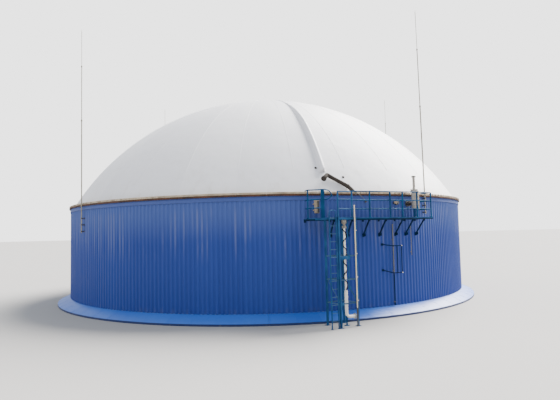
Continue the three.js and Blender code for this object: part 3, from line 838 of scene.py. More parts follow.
@dataclass(frozen=True)
class DustyRubber:
    """Dark rubber with some pale dust on it."""

    name: str = "dusty_rubber"
    rubber: Triple = (0.04, 0.034, 0.03)
    dust: Triple = (0.085, 0.072, 0.062)

    def material(self) -> bpy.types.Material:
        """Build the node tree."""
        graph = Graph(self.name)
        patches = graph.noise(5.0, 4.0)
        dusty = patches.ramp(0.42, 0.75) * 0.5
        colour = graph.mix(dusty, self.rubber, self.dust)
        return graph.surface(Base_Color=colour, Roughness=0.75 + dusty * 0.2, Specular_IOR_Level=0.06,
                             Normal=graph.bump((graph.noise(90.0, 3.0), 0.0006)))


@dataclass(frozen=True)
class Concrete:
    """Cast concrete: grey, blotched and pitted."""

    light: Triple = (0.46, 0.45, 0.42)
    dark: Triple = (0.27, 0.26, 0.245)

    def material(self) -> bpy.types.Material:
        """Build the node tree."""
        graph = Graph("raft_concrete")
        blotches = graph.noise(1.2, 6.0)
        pits = graph.noise(45.0, 4.0)
        colour = graph.mix(blotches.ramp(0.3, 0.7) * 0.7 + pits * 0.3, self.light, self.dark)
        return graph.surface(Base_Color=colour, Roughness=0.85 + pits * 0.1, Normal=graph.bump((pits, 0.003)))


@dataclass(frozen=True)
class StudioFloor:
    """A plain pale floor."""

    tone: Triple = (0.32, 0.31, 0.3)

    def material(self) -> bpy.types.Material:
        """Build the node tree."""
        graph = Graph("studio_floor")
        colour = graph.mix(graph.noise(0.05, 2.0), self.tone, tuple(c * 0.97 for c in self.tone))
        return graph.surface(Base_Color=colour, Roughness=0.9)


class Finishes:
    """Every material of the tank, built once."""

    def __init__(self) -> None:
        """Build the materials."""
        rust = (0.19, 0.075, 0.03)
        self.cladding = CladdingPaint().material()
        # The cap band's tones are lighter than the wall's: painted sky reflection on the smooth band.
        self.cap = CladdingPaint("cap_paint_painted_reflection", (0.03, 0.056, 0.2), (0.045, 0.076, 0.25),
                                 bleached_and_sky_lit=(0.06, 0.092, 0.26)).material()
        self.skirt = SkirtPaint().material()
        self.rust = Rust().material()
        self.clamp = DullSteel("clamp_steel", (0.5, 0.41, 0.29), (0.3, 0.24, 0.165),
                               (0.12, 0.07, 0.045), 0.6, 0.1).material()
        self.galvanised = DullSteel("galvanised_steel", (0.5, 0.5, 0.49), (0.3, 0.3, 0.3),
                                    (0.27, 0.2, 0.14), 0.3, 0.5).material()
        self.mast = DullSteel("mast_steel", (0.3, 0.27, 0.21), (0.19, 0.17, 0.13),
                              (0.16, 0.11, 0.07), 0.5, 0.15).material()
        self.membrane = Membrane().material()
        self.platform = WornPaint("platform_paint", (0.0012, 0.032, 0.09), (0.003, 0.06, 0.145),
                                  rust, 0.25, 0.65, 0.1).material()
        # A darkened copy of the walkway paint: painted shade on the frame under the deck.
        self.frame = WornPaint("frame_paint_painted_shade", (0.0006, 0.01, 0.032), (0.001, 0.02, 0.055),
                               rust, 0.3, 0.7, 0.08).material()
        self.tower = WornPaint("tower_paint", (0.006, 0.04, 0.11), (0.014, 0.07, 0.17),
                               rust, 0.3, 0.65, 0.1).material()
        # Light faded paint: real fading on the rungs, and a painted highlight along the edges of the ties.
        self.faded = WornPaint("faded_paint_and_highlight", (0.03, 0.08, 0.14), (0.065, 0.13, 0.21),
                               rust, 0.2, 0.65, 0.1).material()
        self.dark = DullSteel("dark_steel", (0.075, 0.068, 0.062), (0.03, 0.027, 0.025),
                              (0.1, 0.05, 0.03), 0.4, 0.1).material()
        self.valve = DullSteel("valve_steel", (0.38, 0.35, 0.3), (0.24, 0.22, 0.19),
                               (0.12, 0.075, 0.045), 0.7, 0.1).material()
        self.conduit = DullSteel("conduit_steel", (0.17, 0.16, 0.14), (0.09, 0.09, 0.085),
                                 (0.1, 0.07, 0.045), 0.5, 0.1).material()
        self.beige = WornPaint("box_paint", (0.33, 0.25, 0.16), (0.4, 0.31, 0.21), rust, 0.05,
                               0.6, 0.15).material()
        self.white = WornPaint("riser_wrap", (0.82, 0.79, 0.74), (0.7, 0.67, 0.62),
                               (0.3, 0.27, 0.23), 0.3, 0.6).material()
        self.cream = WornPaint("cream_paint", (0.6, 0.5, 0.34), (0.68, 0.58, 0.42), rust, 0.1,
                               0.6, 0.15).material()
        self.rubber = DustyRubber().material()
        self.cable = DustyRubber("black_cable", (0.004, 0.004, 0.004), (0.016, 0.014, 0.012)).material()
        self.concrete = Concrete().material()


# Stock that the sub-assemblies are cut from


class Stock:
    """Bars, tubes, bolts and plates, each modelled once and copied to where it is needed."""

    def __init__(self) -> None:
        """Model the bolt and the screw."""
        self.bolt = self._hexagon("bolt", 0.012, 0.012, 0.005)
        self.wall_screw = self._hexagon("wall_screw", 0.0075, 0.008, 0.004)

    @staticmethod
    def _hexagon(name: str, radius: float, height: float, washer: float) -> Part:
        """Model a hexagon head on a washer, standing on z = 0.

        Args:
            name: The part's name.
            radius: The head's radius.
            height: The head's height.
            washer: How far the washer stands out.

        Returns:
            The pattern.
        """
        thick = 0.003
        part = Part.drum(name, radius, thick, thick + height, sides=6)
        with part.editing():
            part.pick(Element.FACES, lambda middle, normal: normal.z > 0.9)
            bpy.ops.mesh.inset(thickness=radius * 0.22, depth=radius * 0.12)
            part.pick(Element.FACES, lambda middle, normal: normal.z < -0.9)
            bpy.ops.mesh.inset(thickness=washer, use_outset=True)
            part.pick(Element.FACES, lambda middle, normal: normal.z < -0.9)
            part.extrude(-thick)
        return part

    @staticmethod
    def square(side: float, depth: float | None = None, wall: float = 0.005) -> Part:
        """Model a square or oblong hollow section of unit length.

        Args:
            side: Its side along X.
            depth: Its side along Y, where that is another.
            wall: How thick it is.

        Returns:
            The pattern.
        """
        depth = side if depth is None else depth
        part = Part.block("hollow_section", (side, depth, 1.0), (0, 0, 0.5))
        with part.editing():
            part.pick(Element.EDGES, lambda a, b: abs(a.z - b.z) > 0.5)
            bpy.ops.mesh.bevel(offset=min(side, depth) * 0.12, segments=2)
            part.pick(Element.FACES, lambda middle, normal: abs(normal.z) > 0.9)
            bpy.ops.mesh.inset(thickness=wall)
            bpy.ops.mesh.extrude_region_shrink_fatten(TRANSFORM_OT_shrink_fatten={"value": -0.02})
        return part

    @staticmethod
    def round(radius: float, sides: int = 12) -> Part:
        """Model a round bar of unit length.

        Args:
            radius: Its radius.
            sides: How many sides it has.

        Returns:
            The pattern.
        """
        part = Part.drum("round_bar", radius, 0.0, 1.0, sides)
        with part.editing():
            part.pick(Element.FACES, lambda middle, normal: abs(normal.z) > 0.9)
            bpy.ops.mesh.inset(thickness=radius * 0.2)
        return part

    @staticmethod
    def angle(leg: float, thick: float) -> Part:
        """Model an equal angle of unit length, its heel on the Z axis and its legs along X and Y."""
        corners = ((0, 0), (leg, 0), (leg, thick), (thick, thick), (thick, leg), (0, leg))
        return Stock.slab("angle_bar", corners, 0, 1)

    @staticmethod
    def slab(name: str, corners: Outline, low: float, height: float) -> Part:
        """Raise a flat outline to a solid.

        Args:
            name: The part's name.
            corners: The outline's corners on the level.
            low: Height of its underside.
            height: How thick it is.

        Returns:
            The solid.
        """
        part = Part.line(name, [(x, y, low) for x, y in corners], closed=True)
        with part.editing():
            part.extrude(height)
            part.close()
        return part

    def plate(self, width: float, height: float, thick: float, bolts: int = 0) -> Part:
        """Model a plate that faces -Y, with its back on y = 0 and bolts near its corners.

        Args:
            width: Along X.
            height: Along Z.
            thick: Along Y.
            bolts: 0, 2 (one above the other) or 4.

        Returns:
            The pattern.
        """
        part = Part.block("plate", (width, thick, height), (0, -thick / 2, 0), min(0.002, thick / 4))
        if not bolts:
            return part
        sides = (0.0,) if bolts == 2 else (-0.32 * width, 0.32 * width)
        places = [shifted(x, -thick, z * height) @ OUTWARDS for x in sides for z in (-0.34, 0.34)]
        return part.joined([self.bolt.copied("plate", place) for place in places])

    def stand(self, railing: Assembly, foot_depth: float, spots: Iterable[tuple[Place, float]]) -> None:
        """Stand a railing's posts on their foot plates.

        Args:
            railing: The railing.
            foot_depth: How deep the foot plates are.
            spots: Each post's place and height.
        """
        post = self.square(POST_SIDE)
        foot = self.plate(0.11, foot_depth, 0.01, 4)
        for place, height in spots:
            railing.add(post, place @ Matrix.Diagonal((1.0, 1.0, height, 1.0)))
            railing.add(foot, place @ UPWARDS)

    def bolt_circle(self, piece: Assembly, count: int, radius: float, place: Place) -> None:
        """Set bolts in a circle about a place, their heads along its +Z."""
        turns = [turned(FULL_TURN * i / count) for i in range(count)]
        piece.add(self.bolt, *[place @ turn @ shifted(radius, 0, 0) for turn in turns])


# The tank's sub-assemblies


@dataclass
class Section:
    """A sub-assembly of the tank, with the finishes and the stock that it is made from."""

    finishes: Finishes
    stock: Stock


@dataclass
class Base(Section):
    """The concrete raft's finish and the sloped blue skirt around it, in bent sheets."""

    raft: float = 11.972
    slope_top: float = 0.378
    edge: float = 12.642
    edge_height: float = 0.1
    sheet_angle: float = 5.0
    lap: float = 0.006
    pieces: int = 4

    def build(self) -> None:
        """Model one quarter and copy it round."""
        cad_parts["foundation_slab"].material_slots[0].material = self.finishes.concrete
        quarter = self._quarter()
        for i in range(self.pieces):
            skirt = Assembly(f"skirt_sheets_{i + 1}", "cladding_blue", self.finishes.skirt)
            skirt.add(quarter, turned(90.0 * i))
            skirt.finish(f"base_skirt_{i + 1}")

    def _quarter(self) -> Part:
        """Model a quarter of the skirt with its lapped joints."""
        edge, height, raft, lap = self.edge, self.edge_height, self.raft, self.lap
        outline = [(raft, 0.0), (edge, 0.0), (edge + 0.004, height - 0.012),
                   (edge - 0.01, height + 0.004), (raft, self.slope_top)]
        raised = [(raft, 0.0), (edge + lap, 0.0), (edge + lap + 0.002, height - 0.006),
                  (edge - 0.008, height + 0.004 + lap), (raft, self.slope_top + 0.001)]
        starts = [0.02 + self.sheet_angle * i for i in range(round(90.0 / self.sheet_angle))]
        laps = [Part.sweep("lap", raised, start, start + 0.28, 1) for start in starts]
        return Part.sweep("skirt_quarter", outline, 0.02, 89.98, 90).joined(laps)


@dataclass
class Cladding(Section):
    """Ribbed wall sheets, five ribs to a sheet, screwed to the wall and lapped at their sides."""

    valley: float = 11.968
    crest: float = 11.998
    foot: float = 0.384
    top: float = 5.112
    rib_angle: float = 1.0
    ribs: int = 5
    sheets: int = 9
    panels: int = 8
    screw_rows: Row = (0.5, 1.75, 3.05, 4.35)

    def build(self) -> None:
        """Model a sheet, lay a panel of sheets and copy the panel round the tank."""
        panel = self._panel()
        for i in range(self.panels):
            wall = Assembly(f"wall_cladding_{i + 1}", "cladding_blue", self.finishes.cladding)
            wall.add(panel, turned(FULL_TURN * i / self.panels))
            wall.finish(f"wall_segment_{i + 1}", smooth=30.0)

    def _sheet(self) -> Part:
        """Model one sheet of five ribs with its side lap."""
        valley, crest = self.valley, self.crest
        rib = [(0.0, valley), (0.3, valley), (0.38, valley + 0.006), (0.47, crest - 0.004),
               (0.53, crest), (0.77, crest), (0.83, crest - 0.004), (0.92, valley + 0.006)]
        line = [(share + i, radius) for i in range(self.ribs) for share, radius in rib]
        line += [(self.ribs, valley), (self.ribs + 0.16, valley + 0.0025)]
        points = [around(share * self.rib_angle, radius, self.foot) for share, radius in line]
        sheet = Part.line("ribbed_sheet", points)
        with sheet.editing():
            sheet.extrude(self.top - self.foot)
        return sheet.face_outwards().thicken(0.0015)

    def _panel(self) -> Part:
        """Lay nine sheets side by side with their screws."""
        places = [on_wall(self.rib_angle * (i + 0.14), self.valley, z) @ OUTWARDS
                  for i in range(self.ribs) for z in self.screw_rows]
        screws = [self.stock.wall_screw.copied("screw", place) for place in places]
        panel = self._sheet().joined(screws)
        width = self.ribs * self.rib_angle
        with panel.editing():
            panel.spin(width * (self.sheets - 1), self.sheets - 1, copy=True)
        return panel


@dataclass
class Flashing(Section):
    """The smooth blue cap band with its drip edge, in lengths with riveted joints."""

    inside: float = 11.967
    radius: float = 12.02
    bottom: float = 5.112
    top: float = 5.299
    lengths: int = 24

    def build(self) -> None:
        """Sweep one length and its joint strap, and copy them round."""
        inside, out, low, top = self.inside, self.radius, self.bottom, self.top
        outline = [(inside, top - 0.004), (out - 0.004, top), (out, top - 0.006), (out, low + 0.022),
                   (out + 0.004, low + 0.006), (out - 0.002, low), (out - 0.01, low + 0.01),
                   (out - 0.006, low + 0.024), (inside, top - 0.03)]
        span = FULL_TURN / self.lengths
        length = Part.sweep("cap_length", outline, 0.0, span - 0.01, 15)
        face = out + 0.002
        strap = [(inside + 0.001, top), (face, top + 0.0005), (face, low + 0.02),
                 (out - 0.01, low + 0.02), (inside + 0.001, top - 0.02)]
        joint = Part.sweep("cap_joint", strap, -0.35, 0.35, 2)
        band = Assembly("cap_band", "cladding_blue", self.finishes.cap)
        for i in range(self.lengths):
            band.add(length, turned(span * i))
            band.add(joint, turned(span * i))
            band.add(self.stock.wall_screw, *[
                on_wall(span * i + side, out, z) @ OUTWARDS
                for side in (-0.22, 0.22) for z in (low + 0.05, top - 0.05)])
        band.finish("cap_flashing")


@dataclass
class EdgeRing(Section):
    """The rusty rim angle with splice plates, and the bolted clamp rail that holds the membrane."""

    rim_out: float = 12.078
    rim_in: float = 11.786
    rim_bottom: float = 5.302
    rim_top: float = 5.38
    rail_out: float = 12.046
    rail_in: float = 11.846
    rail_top: float = 5.476
    rim_lengths: int = 24
    rail_lengths: int = 120

    def build(self) -> None:
        """Build both rings."""
        self._rim()
        self._rail()

    def _rim(self) -> None:
        """Bend an angle in lengths, bolt splice plates over the joints."""
        out, top, low = self.rim_out, self.rim_top, self.rim_bottom
        outline = [(self.rim_in, top - 0.012), (out - 0.012, top - 0.012), (out - 0.012, low),
                   (out - 0.002, low), (out, low + 0.003), (out, top - 0.004), (out - 0.004, top),
                   (self.rim_in, top)]
        span = FULL_TURN / self.rim_lengths
        length = Part.sweep("rim_length", outline, 0.0, span - 0.03, 15)
        splice = self.stock.plate(0.26, 0.055, 0.008, 4)
        ring = Assembly("rim_steel", "rusty_steel", self.finishes.rust)
        for i in range(self.rim_lengths):
            ring.add(length, turned(span * i))
            ring.add(splice, on_wall(span * i, out - 0.001, (low + top) / 2))
        ring.finish("rim_angle")

    def _rail(self) -> None:
        """Bend a short rail with a rolled edge and two clamps, and repeat it round."""
        out, low, top = self.rail_out, self.rim_top + 0.001, self.rail_top
        outline = [(self.rail_in, low), (out, low), (out, low + 0.03), (out - 0.016, low + 0.036),
                   (out - 0.018, top - 0.01), (out - 0.03, top), (self.rail_in + 0.03, top),
                   (self.rail_in, top - 0.02)]
        span = FULL_TURN / self.rail_lengths
        length = Part.sweep("rail_length", outline, 0.03, span - 0.03, 3)
        clamp = Part.block("clamp", (0.056, 0.03, 0.086), (0, 0.001, 0.043), 0.004)
        with clamp.editing():
            clamp.pick(Element.FACES, lambda middle, normal: normal.y < -0.9)
            bpy.ops.mesh.inset(thickness=0.01, depth=-0.006)
        rail = Assembly("clamp_steelwork", "clamp_steel", self.finishes.clamp)
        rail.add(length, *[turned(span * i) for i in range(self.rail_lengths)])
        for i in range(self.rail_lengths * 2):
            angle = span * (i + 0.5) / 2
            rail.add(clamp, on_wall(angle, out, low))
            rail.add(self.stock.bolt, on_wall(angle, out + 0.014, low + 0.046) @ OUTWARDS)
        rail.finish("clamp_rail")


@dataclass
class Dome(Section):
    """The membrane in welded strips that swell a little between their seams."""

    radius: float = 13.69
    foot_radius: float = 11.83
    foot: float = 5.3806
    strips: int = 28
    columns: int = 8
    rows: int = 30
    swell: float = 0.012
    swell_bands: tuple[Triple, ...] = ((1.5, 4.0, 0.35), (4.0, 7.0, 0.7), (7.0, 13.0, 1.0))
    seam_half: float = 0.035
    seam_start: float = 3.0
    patch: float = 0.9
    patch_steps: int = 8
    fittings: tuple[Pair, ...] = ((11.78, 53.6), (17.9, 55.85))

    @property
    def centre(self) -> float:
        """Give the height of the sphere's middle."""
        return self.foot - sqrt(self.radius**2 - self.foot_radius**2)

    @property
    def foot_polar(self) -> float:
        """Give the angle from the top down to the foot."""
        return degrees(asin(self.foot_radius / self.radius))

    def point(self, angle: float, polar: float, height: float) -> Vector:
        """Give a point over the skin, by its angles round the tank and down from the top."""
        reach, turn = self.radius + height, radians(polar)
        return around(angle, reach * sin(turn), self.centre + reach * cos(turn))

    def build(self) -> None:
        """Build the skin, its seams, the round patch on top and two dark fittings."""
        skin = Assembly("dome_skin", "dome_membrane", self.finishes.membrane)
        for part in (self._skin(), self._seams(), self._patch(), *self._fittings()):
            skin.add(part)
        nodes = [f"dome_gore_{i + 1}" for i in range(6)]
        skin.finish(*nodes, "dome_crown", smooth=40.0)

    def _skin(self) -> Part:
        """Spin a strip from one meridian, swell it and repeat it round."""
        middle = (0.0, 0.0, self.centre)
        strip = Part.line("membrane_strip", [(0.0, 0.0, self.centre + self.radius)])
        width = FULL_TURN / self.strips
        with strip.editing():
            strip.spin(-self.foot_polar, self.rows, axis=(1, 0, 0), centre=middle)
            strip.spin(width, self.columns)
            bpy.ops.mesh.select_all(action="SELECT")
            bpy.ops.mesh.remove_doubles(threshold=1e-4)
        strip.face_outwards(middle)
        with strip.editing():
            for column in range(1, self.columns):
                share = column / self.columns
                for low, high, growth in self.swell_bands:
                    strip.pick(Element.POINTS, lambda co, normal: low < hypot(co.x, co.y) <= high
                               and abs(degrees(atan2(co.x, -co.y)) - width * share) < 0.05)
                    rise = self.swell * sin(pi * share) * growth
                    bpy.ops.transform.shrink_fatten(value=rise)
            strip.spin(width * (self.strips - 1), self.strips - 1, copy=True)
            bpy.ops.mesh.select_all(action="SELECT")
            bpy.ops.mesh.remove_doubles(threshold=1e-4)
        return strip.settle(turned(-width / 2)).thicken(0.004)

    def _seams(self) -> Part:
        """Sweep a flat lapped seam down a meridian and repeat it at each joint."""
        half, raised, sunk, start = self.seam_half, 0.004, -0.002, self.seam_start
        profile = ((-half, sunk), (-half + 0.004, raised), (half - 0.004, raised), (half, sunk))
        across = [self.point(0.0, start, height) + Vector((x, 0.0, 0.0)) for x, height in profile]
        seam = Part.line("welded_seam", across)
        middle = (0.0, 0.0, self.centre)
        width = FULL_TURN / self.strips
        with seam.editing():
            seam.spin(start + 0.2 - self.foot_polar, self.rows, axis=(1, 0, 0), centre=middle)
            seam.spin(width * (self.strips - 1), self.strips - 1, copy=True)
        return seam.settle(turned(width / 2)).face_outwards(middle)

    def _patch(self) -> Part:
        """Lay the round patch over the strips' ends."""
        polar = asin(self.patch / self.radius)
        over = self.radius + 0.008
        turns = [polar * i / self.patch_steps for i in range(self.patch_steps + 1)]
        arc = [(over * sin(turn), self.centre + over * cos(turn)) for turn in turns]
        rim = arc[-1][1] - 0.01
        return Part.lathe("crown_patch", [*arc, (self.patch + 0.004, rim), (0.0, rim + 0.02)], 56)

    def _fittings(self) -> Iterator[Part]:
        """Model the small dark inspection fittings on the skin."""
        outline = [(0, 0.03), (0.03, 0.028), (0.045, 0.012), (0.06, 0.008), (0.06, -0.004), (0, -0.004)]
        for angle, polar in self.fittings:
            foot = self.point(angle, polar, 0.008)
            fitting = Part.lathe("skin_fitting", outline, 16).dressed(self.finishes.rubber)
            yield fitting.settle(facing(foot, foot - Vector((0, 0, self.centre))))


@dataclass
class AirSleeve(Section):
    """The half-round air sleeve on the dome, welded down along both sides with soft fillets."""

    dome: Dome
    angle: float = 13.15
    half_width: float = 0.135
    rise: float = 0.245
    margin: float = 0.035
    head_polar: float = 8.0
    foot_polar: float = 54.2
    steps: int = 62
    arc_steps: int = 16

    def build(self) -> None:
        """Sweep the section down the dome, flatten it towards its head and round off its foot."""
        half, flare = self.half_width, self.half_width + self.margin
        turns = [pi * (1 - i / self.arc_steps) for i in range(1, self.arc_steps)]
        arc = [(half * cos(turn), self.rise * sin(turn)) for turn in turns]
        section = [(-flare, -0.004), (-flare + 0.003, 0.01), (-half - 0.012, 0.016), *arc,
                   (half + 0.012, 0.016), (flare - 0.003, 0.01), (flare, -0.004)]
        head = [self.dome.point(0.0, self.head_polar, high) + Vector((across, 0.0, 0.0))
                for across, high in section]
        middle = (0.0, 0.0, self.dome.centre)
        sleeve = Part.line("air_channel", head, closed=True)
        turn = radians(self.foot_polar)
        down = Vector((0.0, -cos(turn), -sin(turn)))
        with sleeve.editing():
            sleeve.spin(self.foot_polar - self.head_polar, self.steps, axis=(1, 0, 0), centre=middle)
            self._flatten(sleeve)
            self._pick_row(sleeve, self.foot_polar, 0.2)
            for shrink, step in ((0.93, 0.06), (0.75, 0.06), (0.4, 0.045)):
                bpy.ops.mesh.extrude_region_move()
                foot = self.dome.point(0.0, self.foot_polar, 0.05)
                bpy.ops.transform.resize(value=(shrink, shrink, shrink), center_override=foot)
                bpy.ops.transform.translate(value=down * step)
            sleeve.close()
        piece = Assembly("air_channel", "dome_membrane", self.finishes.membrane)
        piece.add(sleeve.settle(turned(self.angle)))
        piece.finish("air_sleeve", smooth=60.0)

    def _pick_row(self, sleeve: Part, polar: float, near: float) -> None:
        """Select the points of one row, by its angle down from the top."""
        sleeve.pick(Element.POINTS, lambda co, normal: near > abs(
            degrees(atan2(-co.y, co.z - self.dome.centre)) - polar))

    def _flatten(self, sleeve: Part) -> None:
        """Lower and narrow the rows above the middle of the dome's slope.

        Args:
            sleeve: The sleeve, in edit mode.
        """
        step = (self.foot_polar - self.head_polar) / self.steps
        for row in range(self.steps):
            polar = self.head_polar + step * row
            share = min(1.0, max(0.0, (polar - 21.0) / 19.0))
            share = share * share * (3.0 - 2.0 * share)
            if share >= 1.0:
                break
            self._pick_row(sleeve, polar, step / 3)
            wide, high = 0.6 + 0.4 * share, 0.12 + 0.88 * share
            skin = self.dome.point(0.0, polar, 0.0)
            bpy.ops.transform.resize(value=(wide, high, high), center_override=skin)


@dataclass
class AirPipe(Section):
    """The corrugated air hose from the sleeve's foot over the dome down to the clamp rail."""

    dome: Dome
    radius: float = 0.088
    lift: float = 0.1
    pitch: float = 0.03
    route: tuple[Triple, ...] = ((12.48, 57.13, 0.17), (13.16, 56.39, 0.1), (13.69, 55.93, 0.065),
                                 (14.61, 56.36, 0.025), (16.67, 57.53, 0.0), (17.95, 58.49, 0.02))
    end: Pair = (18.6, 11.965)

    def build(self) -> None:
        """Bend a corrugated hose along its path and bolt the flange on its end."""
        points = [self.dome.point(angle, polar, self.lift + up) for angle, polar, up in self.route]
        path = smooth_path([*points, around(*self.end, self.dome.foot + 0.1)], 12)
        pipe = Assembly("air_hose", "hose_rubber", self.finishes.rubber)
        pipe.add(self._hose(path))
        flange = Part.lathe("end_flange", [
            (0, 0.04), (0.074, 0.04), (0.079, 0.034), (0.12, 0.034), (0.122, 0.03), (0.122, 0.004),
            (0.118, 0), (0.103, 0), (0.1, -0.03), (0, -0.03)], 32)
        at = facing(path[0], path[0] - path[1])
        pipe.add(flange, at)
        self.stock.bolt_circle(pipe, 8, 0.101, at @ shifted(0, 0, 0.033))
        collar = Part.lathe("hose_collar", [
            (0, 0.03), (0.096, 0.03), (0.1, 0.026), (0.1, -0.026), (0.096, -0.03), (0, -0.03)], 24)
        for spot in (6, -14):
            pipe.add(collar, facing(path[spot], path[spot + 1] - path[spot - 1]))
        pipe.finish("air_pipe", smooth=50.0)

    def _hose(self, path: list[Vector]) -> Part:
        """Turn a straight corrugated hose and bend it along a path.

        Args:
            path: The centre line.

        Returns:
            The hose.
        """
        length = sum((b - a).length for a, b in pairwise(path))
        waves = round(length / self.pitch)
        low, high, step = self.radius - 0.0025, self.radius, length / waves
        wave = ((low, 0.0), (high, 0.35), (high, 0.65))
        outline = [(out, step * (i + share)) for i in range(waves) for out, share in wave]
        hose = Part.lathe("hose", [(0.0, 0.0), *outline, (low, length), (0.0, length)], 20)
        route = Part.line("hose_route", path)
        select_only(route.thing)
        bpy.ops.object.convert(target="CURVE")
        hose.modified("CURVE", object=route.thing, deform_axis="POS_Z")
        bpy.data.objects.remove(route.thing)
        with hose.editing():
            bpy.ops.mesh.normals_make_consistent(inside=False)
        return hose


@dataclass
class Platform(Section):
    """The walkway on its wall brackets: channels, arms, struts, a plate deck and railings."""

    start: float = 7.5
    end: float = 35.7
    inner: float = 12.132
    outer: float = 12.978
    top: float = 4.3
    thickness: float = 0.03
    depth: float = 0.059
    steps: int = 27
    arms: Row = (7.75, 13.0, 16.8, 20.6, 24.6, 29.0, 32.1, 35.55)
    bracket_drop: float = 0.66
    bracket_reach: float = 0.525
    tread_pitch: float = 0.24
    rail_radius: float = 12.94
    rail_top: float = 5.43
    rail_heights: Row = (5.406, 5.036, 4.666)
    left_heights: Row = (5.476, 5.076, 4.726)
    front_posts: Row = (15.9, 19.65, 24.25, 27.3, 31.2, 35.4)
    left_post: Pair = (10.25, 12.94)
    left_end: Pair = (7.75, 12.65)
    grip: tuple[Triple, ...] = ((0.0, 0.0, 0.0), (0.5, 0.02, 0.0), (1.2, 0.06, -0.066),
                                (1.6, 0.08, -0.236), (1.0, 0.04, -0.376), (0.0, 0.0, -0.396))

    @property
    def under(self) -> float:
        """Give the height of the frame's upper side."""
        return self.top - self.thickness - 0.0005

    def build(self) -> None:
        """Build the frame, the deck and both railings."""
        self._frame()
        self._deck()
        self._front_railing()
        self._left_railing()

    def _channel(self, web: float, flange: float) -> Part:
        """Sweep a channel along the walkway.

        Args:
            web: Radius of the web's outer face.
            flange: Radius of the flanges' free edge.

        Returns:
            The channel.
        """
        high, low = self.under, self.under - self.depth
        back = web - copysign(0.006, web - flange)
        outline = [(flange, high), (web, high), (web, low), (flange, low), (flange, low + 0.007),
                   (back, low + 0.007), (back, high - 0.007), (flange, high - 0.007)]
        return Part.sweep("channel", outline, self.start, self.end, self.steps)

    def _frame(self) -> None:
        """Weld the channels, arms, struts and wall plates."""
        # The frame is in the dark frame paint: painted shade below the deck.
        steel = Assembly("walkway_frame", "platform_paint", self.finishes.frame)
        steel.add(self._channel(self.outer, self.outer - 0.05))
        steel.add(self._channel(self.inner, self.inner + 0.05))
        arm = self.stock.square(self.depth - 0.016, 0.06, 0.004)
        strut = self.stock.square(0.055)
        plate = self.stock.plate(0.1, 0.15, 0.012, 4)
        gusset = self.stock.plate(0.12, 0.12, 0.008)
        low = self.under - self.depth
        middle, foot = self.under - self.depth / 2, low - self.bracket_drop
        reach = WALL_FACE + self.bracket_reach
        for angle in self.arms:
            end = around(angle, self.outer - 0.008, middle)
            steel.bar(arm, around(angle, WALL_FACE + 0.01, middle), end)
            steel.add(plate, on_wall(angle, WALL_FACE, middle - 0.02))
        for angle in self.arms[1:]:
            steel.bar(strut, around(angle, WALL_FACE + 0.012, foot), around(angle, reach, low + 0.02))
            steel.add(plate, on_wall(angle, WALL_FACE, foot))
            cheek = turned(angle) @ shifted(0.034, 0, 0) @ turned(90)
            steel.add(gusset, cheek @ shifted(-WALL_FACE - 0.07, 0, foot + 0.02),
                      cheek @ shifted(0.04 - reach, 0, middle - 0.03))
        steel.finish("platform_frame")

    def _deck(self) -> None:
        """Lay a bent plate with a turned-up lip at its edges and raised tread bars on it."""
        deck = Assembly("walkway_deck", "platform_paint", self.finishes.tower)
        low, high, top = self.top - self.thickness, self.top - 0.006, self.top
        inner, outer = self.inner, self.outer
        outline = [(inner, low), (outer, low), (outer, top), (outer - 0.006, top),
                   (outer - 0.006, high), (inner + 0.006, high), (inner + 0.006, top), (inner, top)]
        deck.add(Part.sweep("deck_plate", outline, self.start, self.end, self.steps))
        size = (0.012, outer - inner - 0.08, 0.006)
        tread = Part.block("tread_bar", size, (0, -(inner + outer) / 2, high + 0.0028), 0.002)
        count = round((self.end - self.start) / self.tread_pitch) - 1
        with tread.editing():
            tread.spin(self.tread_pitch * (count - 1), count - 1, copy=True)
        deck.add(tread.settle(turned(self.start + self.tread_pitch)))
        deck.finish("platform_deck")

    def _front_railing(self) -> None:
        """Run three rails past the front posts and back to the wall at the right end."""
        railing = Assembly("front_railing", "platform_paint", self.finishes.platform)
        rail = self.stock.round(RAIL_RADIUS)
        first, last = self.front_posts[0], self.front_posts[-1]
        spots = [*((angle, self.rail_radius) for angle in self.front_posts), (last, self.inner + 0.058)]
        height = self.rail_top - 0.003 - self.top
        self.stock.stand(railing, 0.07, [(on_wall(*spot, self.top), height) for spot in spots])
        for height in self.rail_heights:
            outline = circle(self.rail_radius, height, RAIL_RADIUS)
            railing.add(Part.sweep("rail", outline, first, last, 24))
            corner = around(last, self.rail_radius, height)
            railing.bar(rail, corner, around(last, self.inner + 0.06, height))
        railing.finish("railing_front")

    def _left_railing(self) -> None:
        """Run the rails round the left end, the top one bent down to a hand grip."""
        railing = Assembly("left_railing", "platform_paint", self.finishes.platform)
        rail = self.stock.round(RAIL_RADIUS)
        last, radius = self.left_post
        end, end_radius = self.left_end
        high = self.left_heights[0]
        spots = (self.left_post, self.left_end)
        height = high + 0.021 - self.top
        self.stock.stand(railing, 0.07, [(on_wall(*spot, self.top), height) for spot in spots])
        board = Part.block("post_board", (0.148, 0.034, 1.186), (0, 0, 4.8955), 0.003)
        railing.add(board, on_wall(last, radius))
        for height in self.left_heights:
            corner = around(end, end_radius, height)
            railing.bar(rail, corner, around(last, radius, height))
            railing.bar(rail, corner, around(end, self.inner + 0.04, height))
        grip = [around(last + turn, radius + out, high + up) for turn, out, up in self.grip]
        railing.add(Part.tube("hand_grip", smooth_path(grip, 6), RAIL_RADIUS, 12))
        railing.finish("railing_left", smooth=50.0)


